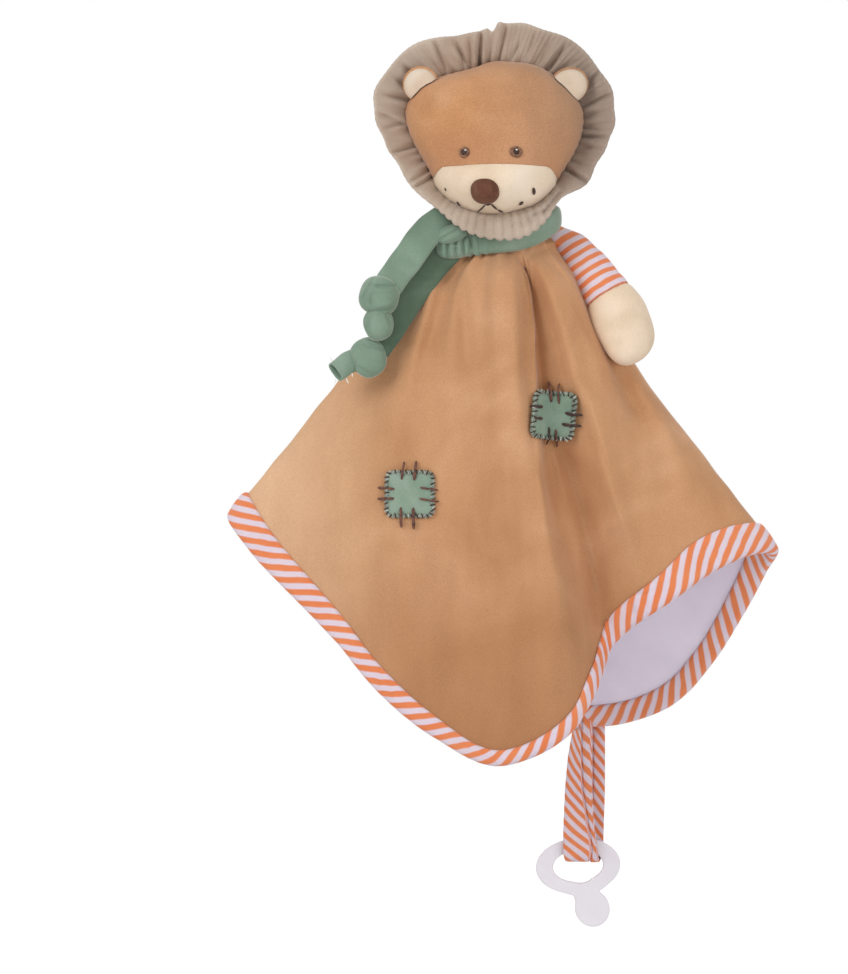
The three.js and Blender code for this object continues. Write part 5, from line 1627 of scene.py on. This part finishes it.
def addCollar():
    count, around = 300, 28
    turns = np.arange(count) * 360 / count
    centres = collarPoint(turns)
    gathers = np.exp(-(((turns - 236 + 180) % 360 - 180) / 20) ** 2)
    rightSide = np.exp(-(((turns - 350 + 180) % 360 - 180) / 36) ** 2)
    leftSide = np.exp(-(((turns - 222 + 180) % 360 - 180) / 28) ** 2)
    phase = np.radians(turns) * 34
    rings = []
    for k in range(count):
        angle = math.radians(turns[k])
        out = np.array([math.cos(angle), math.sin(angle), 0])
        tuck = gathers[k]
        grown = 1.04 + 0.10 * tuck * math.cos(phase[k]) - 0.02 * rightSide[k] + 0.12 * leftSide[k]
        wide = scarf["width"] / 2 * grown
        thick = scarf["thickness"] / 2 * (
            0.92 + 0.28 * tuck * math.cos(phase[k]) + 0.05 * math.sin(5 * angle + 1))
        centre = centres[k] + out * (2.2 * rightSide[k] + 0.5 * leftSide[k])
        centre = centre + np.array([0, 0, 2.9 * rightSide[k] - 2.2 * leftSide[k] - 0.3 * tuck])
        centres[k] = centre
        rings.append(tubeRing(centre, out, np.array([0, 0, 1.0]), thick, wide, around, 2.4))
    grid = np.array(rings)
    grid = grid + unit(grid - centres[:, None]) * (0.16 * ripple(grid, 14, 21))[..., None]
    crease = creaseRelief(grid, [(450, 258, 447, 243, 1.1), (465, 256, 457, 242, 1.2),
                                 (475, 251, 470, 241, 0.9)], 1.5, 0.35, 2.5, 4)
    grid[..., 1] += crease * (grid[..., 1] < -8)
    piece = gridPiece("scarfCollar", grid, greenVelour, True, True)
    settle(piece, "blanket", "green_velour", "scarf_collar")
    # the scarf's second turn, inside the first and a little higher
    rings = []
    for k in range(count):
        angle = math.radians(turns[k])
        out = np.array([math.cos(angle), math.sin(angle), 0])
        behind = 0.5 + 0.5 * math.sin(angle)
        centre = centres[k] - out * scarf["innerStep"] + np.array([0, 0, 0.4 + 1.4 * behind])
        rings.append(tubeRing(centre, out, np.array([0, 0, 1.0]), scarf["innerThickness"] / 2,
                              scarf["width"] * 0.46, around, 2.4))
    grid = np.array(rings)
    grid = grid + (0.3 * ripple(grid, 12, 23))[..., None] * unit(grid - grid.mean(1, keepdims=True))
    inner = gridPiece("scarfInnerTurn", grid, greenVelour, True, True)
    settle(inner, "blanket", "green_velour")


def softTube(name, places, widths, depths, material, steps=60, around=36, power=2.5, seed=1,
             facing=(0, -1, 0), roughness=0.18):
    places = np.asarray(places, float)
    at = np.linspace(0, len(places) - 1, steps)
    path = splineAt(places[None], at[None])[0]
    tangent = unit(np.gradient(path, axis=0))
    look = np.array(facing, float)
    rings = []
    for k in range(steps):
        through = unit(look - tangent[k] * (look @ tangent[k]))
        across = np.cross(tangent[k], through)
        share = k / (steps - 1)
        wide = np.interp(share, np.linspace(0, 1, len(widths)), widths) / 2
        deep = np.interp(share, np.linspace(0, 1, len(depths)), depths) / 2
        end = min(share, 1 - share) * (steps - 1)
        close = math.sqrt(max(0.0, 1 - max(0.0, 1 - (end + 0.35) / 3.0) ** 2))
        ring = tubeRing(path[k], across, through, wide * close, deep * close, around, power)
        rings.append(ring)
    grid = np.array(rings)
    grid = grid + unit(grid - path[:, None]) * (roughness * ripple(grid, 11, seed))[..., None]
    return gridPiece(name, grid, material, False, True, None, True)


# Scarf ends: pixels of the photograph and a depth, from under the collar down past both knots
scarfEnds = {
    "frontTail": [(454, 213, -14.5), (438, 222, -18), (423, 237, -20), (408.5, 257.5, -21),
                  (397, 273, -21.6), (387, 287, -22.4),
                  (383, 293, -22.6)],
    "backTail": [(462, 238, -9.5), (451, 248, -11.5), (438, 260, -13), (425, 276, -14),
                 (411.5, 295, -14.6), (398, 316, -15), (384, 338, -15.4),
                 (375, 352, -15.6)],
    "backTip": [(364, 357, -15.6), (355, 360, -16.0), (347.5, 363.5, -16.6), (341, 368, -17.6),
                (336, 371.5, -19.0)],
    "lobe": (451, 233.5, -18.6), "frontKnot": (379, 296, -23), "frontTip": (378.6, 323.8, -22.6),
    "backKnot": (368.5, 357.5, -16.4),
    "gather": (455.5, 246.5, -14.6),
}
frontKnotCreases = [(362, 300, 374, 278, 0.8), (374, 286, 396, 286, 1.0), (369, 312, 392, 308, 1.1),
                    (372, 290, 371, 306, 0.6)]
gatherCreases = [(448, 259, 447, 238, 1.2), (456.5, 259, 455, 238, 1.0), (464, 258, 463, 238, 1.2),
                 (471, 256, 471, 238, 0.8)]
frontTipCreases = [(366, 330, 372, 316, 0.5), (392, 325, 386, 314, 0.5)]
backKnotCreases = [(356, 371, 350, 354, 1.4), (362, 343, 384, 349, 0.9), (372, 376, 360, 368, 0.7)]


def roundedPad(name, place, halfWidth, halfHeight, halfDepth, turn, power, creases, material, seed):
    # a stuffed lump facing the camera, with folds pressed into its front
    turns, latitudes = np.arange(88) * 360 / 88, np.linspace(-87, 87, 61)
    a, b = np.radians(turns)[:, None], np.radians(latitudes)[None]

    def lobed(value):
        return np.sign(value) * np.abs(value) ** (2 / power)

    x, z = (lobed(np.cos(a)) * np.cos(b) ** (2 / power) * halfWidth,
            lobed(np.sin(a)) * np.cos(b) ** (2 / power) * halfHeight)
    y = lobed(np.sin(b)) * halfDepth * np.ones_like(a)
    lean = math.radians(turn)
    local = np.stack([x * math.cos(lean) - z * math.sin(lean), y,
                      x * math.sin(lean) + z * math.cos(lean)], -1)
    grid = fromPhoto(*place) + local * (1 + 0.045 * ripple(local, 9, seed))[..., None]
    grid[..., 1] += creaseRelief(grid, creases, 1.5, 0.45, 2.6, 4.2) * (local[..., 1] < 0)
    return gridPiece(name, grid.transpose(1, 0, 2), material, False, True, None, True)


def openTip(name, places, widths, depths, material):
    # a flat tube that ends raw and open: the last rings turn back inside it
    path = splineAt(np.asarray(places)[None], np.linspace(0, len(places) - 1, 34)[None])[0]
    tangent = unit(np.gradient(path, axis=0))
    rings = []
    for k in range(34):
        through = unit(np.array([0, -1.0, 0]) - tangent[k] * -tangent[k][1])
        across = np.cross(tangent[k], through)
        wide = np.interp(k / 33, np.linspace(0, 1, len(widths)), widths) / 2
        deep = np.interp(k / 33, np.linspace(0, 1, len(depths)), depths) / 2
        rings.append(tubeRing(path[k], across, through, wide, deep, 40, 2.5))
    end, way, size = path[-1], tangent[-1], (wide, deep)
    for back, share in ((-0.5, 0.93), (-0.35, 0.84), (0.5, 0.78), (1.8, 0.74), (3.6, 0.6)):
        rings.append(tubeRing(end - way * back, across, through, size[0] * share,
                              size[1] * (share - 0.12), 40, 2.5))
    grid = np.array(rings)
    return gridPiece(
        name, grid + (0.16 * ripple(grid, 7, 39))[..., None] * unit(grid - grid.mean(1, keepdims=True)),
        material, False, True, None, True)


def addScarfEnds():
    wide, thick = scarf["tailWidth"], scarf["tailThickness"]
    # the back tail gets the darker copy of the green velour, painted shade
    for side, tailBody, material in (("front", "front_tail", greenVelour),
                                     ("back", "back_tail", greenPaintedShade)):
        places = photoPaths(scarfEnds[side + "Tail"])
        tail = softTube(side + "ScarfTail", places, [wide * s for s in (0.9, 1.04, 1.06, 1.02, 0.94)],
                        [thick * s for s in (0.8, 0.95, 0.9, 0.9, 0.9)], material, 80, 40, 2.9, 31)
        settle(tail, tailBody, "green_velour", side + "_scarf_tail")
    lobe = roundedPad("scarfLobe", scarfEnds["lobe"], 6.6, 3.5, 3.2, 14, 2.2,
                      [(440, 240, 458, 229, 0.6)], greenVelour, 30)
    settle(lobe, "blanket", "green_velour")
    gather = roundedPad("scarfGather", scarfEnds["gather"], 7.9, 4.5, 3.6, 4, 2.8, gatherCreases,
                        greenVelour, 29)
    settle(gather, "blanket", "green_velour")
    knot = roundedPad("frontTailKnot", scarfEnds["frontKnot"], 8.0, 7.7, 5.6, -12, 2.3,
                      frontKnotCreases, greenVelour, 33)
    settle(knot, "front_tail", "green_velour", "front_tail_knot")
    tip = roundedPad("frontTailTip", scarfEnds["frontTip"], 5.9, 6.9, 4.8, 6, 2.2, frontTipCreases,
                     greenVelour, 35)
    settle(tip, "front_tail", "green_velour", "front_tail_tip")
    backKnot = roundedPad("backTailKnot", scarfEnds["backKnot"], 7.0, 7.9, 5.0, 24, 2.3,
                          backKnotCreases, greenVelour, 37)
    settle(backKnot, "back_tail", "green_velour", "back_tail_knot")
    backTip = openTip("backTailTip", photoPaths(scarfEnds["backTip"]), [7.5, 8.8, 8.9, 8.6, 8.4],
                      [5, 5.4, 5.2, 5.2, 5.4], greenVelour)
    settle(backTip, "back_tail", "green_velour", "back_tail_tip")
    threads = []
    for px, py, endX, endY in ((336, 379, 334.5, 384.5), (346, 378, 348.5, 383.5),
                               (333, 362, 330, 357.5), (352, 373, 352.5, 377)):
        threads.append((fromPhoto(px, py, -19), fromPhoto(endX, endY, -19.4), (0, -1, 0), 0.45, 0.4))
    loose = stitchesPiece("scarfLooseThreads", threads, whiteThread)
    settle(loose, "back_tail", "green_velour")


addCollar()
addScarfEnds()
print("scarf is tied")


# Arms: striped sleeve and plump hand over one filling
arm = {
    "length": 67, "skin": 1.4, "gap": 0.3, "pivotHeight": 3.5, "bend": 0.05, "shift": 2.6,
    "hidden": 0.05,
    "right": {"collarTurn": 0, "tuck": 0.016, "down": (0.497, -0.195, -0.846)},
    "left": {"collarTurn": 158, "tuck": 0.006, "down": (-0.1, 0.66, -0.74)},
}
sleeveShares = np.array([[0.0, 0.066, 0.03], [0.12, 0.095, 0.065], [0.3, 0.122, 0.1],
                         [0.5, 0.142, 0.125]])
handFacts = {"from": 0.496, "to": 0.94, "widest": 0.42, "half": 0.172, "halfDeep": 0.147, "cuff": 0.83,
             "power": 2.5}


def armFrame(side):
    facts = arm[side]
    direction = unit(np.array(facts["down"], float))
    startShare = sleeveShares[0, 1] * abs(direction[2]) - facts["tuck"]
    pivot = collarPoint(np.array(float(facts["collarTurn"])),
                        scarf["thickness"] / 2 + arm["gap"] + startShare * arm["length"])
    pivot[2] = arm["pivotHeight"]
    if side == "right":
        across = unit(np.array([-direction[2], 0, direction[0]]))
    else:
        across = unit(np.cross(np.array([0, 0, 1.0]), direction))
    return pivot, direction, across, np.cross(direction, across)


def armRings(side, places, halfWidths, halfDepths, inset, around=56):
    pivot, direction, across, through = armFrame(side)
    rings = []
    for place, wide, deep in zip(places, halfWidths, halfDepths):
        centre = pivot + direction * place * arm["length"]
        if side == "right":
            centre = centre + across * math.sin(place * math.pi) * arm["bend"] * arm["length"]
            centre = centre - np.array([arm["shift"] + max(0.0, 0.1 - place) * arm["length"] * 0.75, 0,
                                        0])
        rings.append(tubeRing(centre, across, through, max(wide * arm["length"] - inset, 0.3),
                              max(deep * arm["length"] - inset, 0.3), around))
    return np.array(rings)


def smoothColumn(places, table, column):
    # a smooth curve through a table of shares
    at = np.interp(places, table[:, 0], np.arange(len(table)))
    points = np.stack([table[:, column], np.zeros(len(table)), np.zeros(len(table))], -1)
    low = np.floor(at).astype(int).clip(0, len(table) - 2)
    t = at - low
    p = [points[np.clip(low + n, 0, len(table) - 1), 0] for n in (-1, 0, 1, 2)]
    return p[1] + 0.5 * t * (p[2] - p[0] + t * (
        2 * p[0] - 5 * p[1] + 4 * p[2] - p[3] + t * (3 * (p[1] - p[2]) + p[3] - p[0])))


def addArm(side):
    skin = arm["skin"]
    places = np.linspace(-arm["hidden"] if side == "right" else 0, 0.5, 52)
    wide, deep = smoothColumn(places, sleeveShares, 1), smoothColumn(places, sleeveShares, 2)
    outer = armRings(side, places, wide, deep, 0)
    wrinkle = 0.2 * ripple(outer, 10, 41) + 0.12 * ripple(outer, 5, 43)
    centres = outer.mean(1, keepdims=True)
    outer = outer + unit(outer - centres) * wrinkle[..., None]
    inner = centres + unit(outer - centres) * (
        np.linalg.norm(outer - centres, axis=-1, keepdims=True) - skin)
    section = np.concatenate([outer, inner[::-1]], 0)
    runDown = np.concatenate([places, places[::-1]]) * arm["length"]
    girth = 2 * np.pi * 8
    around = np.linspace(0, girth, outer.shape[1] + 1)
    uv = np.stack(np.broadcast_arrays(runDown[:, None], around[None]), -1) * metre
    sleeve = gridPiece(side + "Sleeve", section, sleeveJersey, False, True, uv)
    capSleeve(sleeve)
    settle(sleeve, side + "_arm", "striped_jersey", side + "_sleeve")
    t = 1 - (1 - np.linspace(0, 1, 56)) ** 1.8
    handPlaces = handFacts["from"] + (handFacts["to"] - handFacts["from"]) * t
    rise = handFacts["cuff"] + (1 - handFacts["cuff"]) * np.sin(
        np.clip(t / handFacts["widest"], 0, 1) * math.pi / 2)
    close = np.clip((t - handFacts["widest"]) / (1 - handFacts["widest"]), 0, 1) ** handFacts["power"]
    share = rise * np.clip(1 - close, 0, 1) ** (1 / handFacts["power"])
    wide, deep = handFacts["half"] * share, handFacts["halfDeep"] * share
    outer = armRings(side, handPlaces, wide, deep, 0)
    centres = outer.mean(1, keepdims=True)
    outer[-1] = centres[-1] + (outer[-1] - centres[-1]) * 0.3
    near = np.exp(-((handPlaces - handFacts["from"]) * arm["length"] / 1.3) ** 2)[:, None]
    lift = (0.25 * ripple(outer, 13, 45) - 0.7 * near
            + 0.2 * near * np.sin(np.arange(outer.shape[1]) * 2 * np.pi / outer.shape[1] * 17)[None])
    outer = outer + unit(outer - centres) * lift[..., None]
    hand = gridPiece(side + "Hand", outer, creamVelour, False, True, None, True)
    settle(hand, side + "_arm", "cream_velour", side + "_hand")
    fillPlaces = np.linspace(0.03, 0.49, 24)
    fill = armRings(side, fillPlaces, smoothColumn(fillPlaces, sleeveShares, 1),
                    smoothColumn(fillPlaces, sleeveShares, 2), skin + 0.6, 40)
    stuffing = gridPiece(side + "ArmStuffing", fill, filling, False, True, None, True)
    settle(stuffing, side + "_arm", "white_filling", side + "_arm_stuffing")


def capSleeve(sleeve):
    # the open edge between the last outer ring and the first: a ring of faces closes the top
    work = bmesh.new()
    work.from_mesh(sleeve.data)
    edges = [e for e in work.edges if e.is_boundary]
    bmesh.ops.bridge_loops(work, edges=edges)
    bmesh.ops.recalc_face_normals(work, faces=work.faces)
    for face in work.faces:
        face.smooth = True
    work.to_mesh(sleeve.data)
    work.free()


addArm("left")
addArm("right")
print("arms are sewn on")


# Strap: one folded length of jersey through the ring, its edge turned and sewn on the right
strap = {
    "x": 38.3, "y": 74.971, "top": -193.0, "backTop": -196.5, "loopX": 34.9, "loopMiddle": -250.9,
    "width": 14.4,
    "thickness": 1.6, "ringHalf": 2.1, "ease": 1.4, "straddle": 2.7, "edgeFrom": 0.24,
}
# Front ply by height: middle, width, and where the rolled edge begins as a share of the half width
strapFront = np.array([(-193, 36.1, 7.6, -0.15), (-200, 35.6, 8.2, -0.1), (-212, 34.6, 10.2, 0.15),
                       (-225, 34.0, 11.4, 0.32),
                       (-238, 34.0, 12.8, 0.6), (-246, 34.3, 13.8, 0.72), (-256, 34.9, 14.8, 0.7)])


def strapRoute():
    half = strap["thickness"] / 2
    spread = strap["ringHalf"] + strap["ease"] + half
    below = strap["loopMiddle"]
    front = [(0, strap["top"], strap["straddle"] - 0.3), (0, -199, strap["straddle"] + 0.5),
             (0, -205, 2.3), (0, -216, 2.1),
             (0, -229, 2.6), (0, -242, spread)]
    back = [(0.4, -242, spread), (0.1, -229, 2.0), (0, -216, 1.5), (0, -205, 1.9),
            (0, -199, strap["straddle"] + 0.4),
            (0, strap["backTop"], strap["straddle"] - 0.3)]
    places = [(strap["x"] - shift, strap["y"] - out, z) for shift, z, out in front]
    for k in range(7):
        turn = k * math.pi / 6
        places.append((strap["loopX"] + 0.45 * k, strap["y"] - spread * math.cos(turn),
                       below - spread * math.sin(turn)))
    places += [(strap["x"] - shift, strap["y"] + out, z) for shift, z, out in back]
    return np.array(places)


def addStrap():
    half = strap["thickness"] / 2
    steps = 170
    route = strapRoute()
    path = splineAt(route[None], np.linspace(0, len(route) - 1, steps)[None])[0]
    tangent = unit(np.gradient(path, axis=0))
    run = np.concatenate([[0], np.cumsum(np.linalg.norm(np.diff(path, axis=0), axis=1))])
    across = np.array([1.0, 0, 0])
    profile = np.array([(-1, 0), (-0.985, 0.75), (-0.94, 1.0), (-0.7, 1.0), (-0.3, 1.0), (0.1, 1.0),
                        (0.19, 1.0), (0.235, 0.1),
                        (0.26, 0.2), (0.3, 1.5), (0.4, 2.0), (0.6, 2.1), (0.8, 2.0), (0.93, 1.5),
                        (0.985, 0.8), (1, 0)])
    outline = np.concatenate([
        profile, (np.stack([profile[:, 0], -np.minimum(profile[:, 1], 0.9)], -1))[-2:0:-1]])
    rings = []
    for k in range(steps):
        out = np.cross(tangent[k], across)
        fromEnd = min(run[k], run[-1] - run[k])
        front = 1 - smoothStep(run[k], 58, 70)
        middleX, wide, seam = (np.interp(-path[k][2], -strapFront[:, 0], strapFront[:, n])
                               for n in (1, 2, 3))
        wide = (wide * front + 13.6 * (1 - front)) / 2
        centre = path[k].copy()
        centre[0] = middleX * front + path[k][0] * (1 - front)
        seam = seam * front + strap["edgeFrom"] * (1 - front)
        shares = np.where(outline[:, 0] < 0.235, -1 + (outline[:, 0] + 1) * (seam + 1) / 1.235,
                          seam + (outline[:, 0] - 0.235) * (1 - seam) / 0.765)
        heights = outline[:, 1] * (
            front + (1 - front) * np.minimum(1, 0.9 / np.maximum(np.abs(outline[:, 1]), 0.9)))
        wobble = 0.12 * math.sin(run[k] / 4.1) + 0.1 * math.sin(run[k] / 1.9 + 1)
        pleat = 0.5 * math.exp(-(fromEnd / 7.5) ** 2) * np.sin(shares * 8 + run[k] * 0.25)
        sway = 0.3 * math.sin(run[k] / 5.3) * np.abs(shares) + wobble * 0.6
        ring = centre + np.outer(shares * wide, across) + np.outer(
            heights * half * 0.9 + sway + pleat, out)
        rings.append(ring)
    flat = outline * [strap["width"] / 2, half]
    lengths = np.concatenate([[0], np.cumsum(
        np.linalg.norm(np.diff(flat, axis=0, append=flat[:1]), axis=1))])
    seam = (strap["edgeFrom"] + 1) * strap["width"] / 2
    onEdge = (lengths > seam) & (lengths < strap["width"] + 1)
    along = np.where(onEdge[None], run[:, None] * 0.8 + 0.62 * (lengths - seam)[None] + 1.4,
                     run[:, None])
    uv = np.stack(np.broadcast_arrays(along, lengths[None]), -1) * metre
    piece = gridPiece("ringStrap", np.array(rings), strapJersey, False, True, uv, True)
    settle(piece, "strap", "striped_jersey", "ring_strap")
    addStrapTack()


def addStrapTack():
    # a short bar at the top that holds both plies to the hem
    runs = []
    for k in range(9):
        x = strapFront[1, 1] - 3.2 + k * 0.8
        lean = 0.3 if k % 2 else -0.3
        y = strap["y"] - strap["straddle"] - 1.5
        runs.append(((x - lean, y, -199.4), (x + lean, y, -200.9), (0, -1, 0), 0.5, 0.4))
    tack = stitchesPiece("strapBarTack", runs, sleeveThread)
    settle(tack, "strap", "brown_thread", "strap_bar_tack")


# Ring: an oval band with a rounded tab, moulded as one flat plate with soft edges
ring = {
    "middleX": 33.8, "middleZ": -257.4, "width": 35.4, "height": 23.3, "holeWidth": 20.8,
    "holeHeight": 13.1,
    "thickness": 4.2, "tabWidth": 14.6, "tabLength": 15.6, "tilt": -5, "tabX": 5.31, "tabZ": -18.155,
    "tabTurn": -17,
    "edge": 1.5, "voxel": 0.3,
}


def ovalPlate(name, x, z, width, height, thickness, turn):
    # an oval disc facing the front, placed in the ring's own plane
    lean = math.radians(-ring["tilt"])
    placeX = ring["middleX"] + x * math.cos(lean) - z * math.sin(lean)
    placeZ = ring["middleZ"] + x * math.sin(lean) + z * math.cos(lean)
    bpy.ops.object.select_all(action="DESELECT")
    bpy.ops.mesh.primitive_cylinder_add(
        vertices=96, radius=metre, depth=metre, location=(placeX * metre, strap["y"] * metre,
                                                          placeZ * metre),
        rotation=(math.radians(90), math.radians(ring["tilt"] + turn), 0),
        scale=(width / 2, height / 2, thickness))
    plate = bpy.context.object
    plate.name = name
    bpy.ops.object.transform_apply(location=True, rotation=True, scale=True)
    return plate


def applied(piece, kind, **settings):
    bpy.ops.object.select_all(action="DESELECT")
    piece.select_set(True)
    bpy.context.view_layer.objects.active = piece
    modifier = piece.modifiers.new(kind.lower(), kind)
    for key, value in settings.items():
        setattr(modifier, key, value)
    bpy.ops.object.modifier_apply(modifier=modifier.name)


def addRing():
    band = ovalPlate("pacifierRing", 0, 0, ring["width"], ring["height"], ring["thickness"], 0)
    lowBand = ovalPlate("lowBand", 1.0, -1.6, ring["width"] * 0.8, ring["height"] * 0.94,
                        ring["thickness"], 0)
    tab = ovalPlate("ringTab", ring["tabX"] - 1.0, ring["tabZ"], ring["tabWidth"], ring["tabLength"],
                    ring["thickness"], ring["tabTurn"])
    tabNeck = ovalPlate("tabNeck", 2.3, -12.6, 10.4, 12.5, ring["thickness"], ring["tabTurn"])
    hole = ovalPlate("hole", 0, 0, ring["holeWidth"], ring["holeHeight"], ring["thickness"] * 3, 0)
    lowHole = ovalPlate("lowHole", 0.8, -1.9, ring["holeWidth"] * 0.6, ring["holeHeight"] * 0.8,
                        ring["thickness"] * 3, 0)
    applied(band, "BOOLEAN", operation="UNION", solver="EXACT", object=lowBand)
    applied(band, "BOOLEAN", operation="UNION", solver="EXACT", object=tab)
    applied(band, "BOOLEAN", operation="UNION", solver="EXACT", object=tabNeck)
    applied(band, "BOOLEAN", operation="DIFFERENCE", solver="EXACT", object=hole)
    applied(band, "BOOLEAN", operation="DIFFERENCE", solver="EXACT", object=lowHole)
    for spare in (lowBand, tab, tabNeck, hole, lowHole):
        bpy.data.objects.remove(spare)
    applied(band, "REMESH", mode="VOXEL", voxel_size=ring["voxel"] * metre)
    applied(band, "SMOOTH", factor=0.5, iterations=26)
    bpy.ops.object.shade_smooth()
    band.data.materials.clear()
    band.data.materials.append(palePlastic)
    settle(band, "ring", "pale_plastic", "pacifier_ring")


addStrap()
addRing()
print("strap and ring are hung")

bpy.context.view_layer.update()
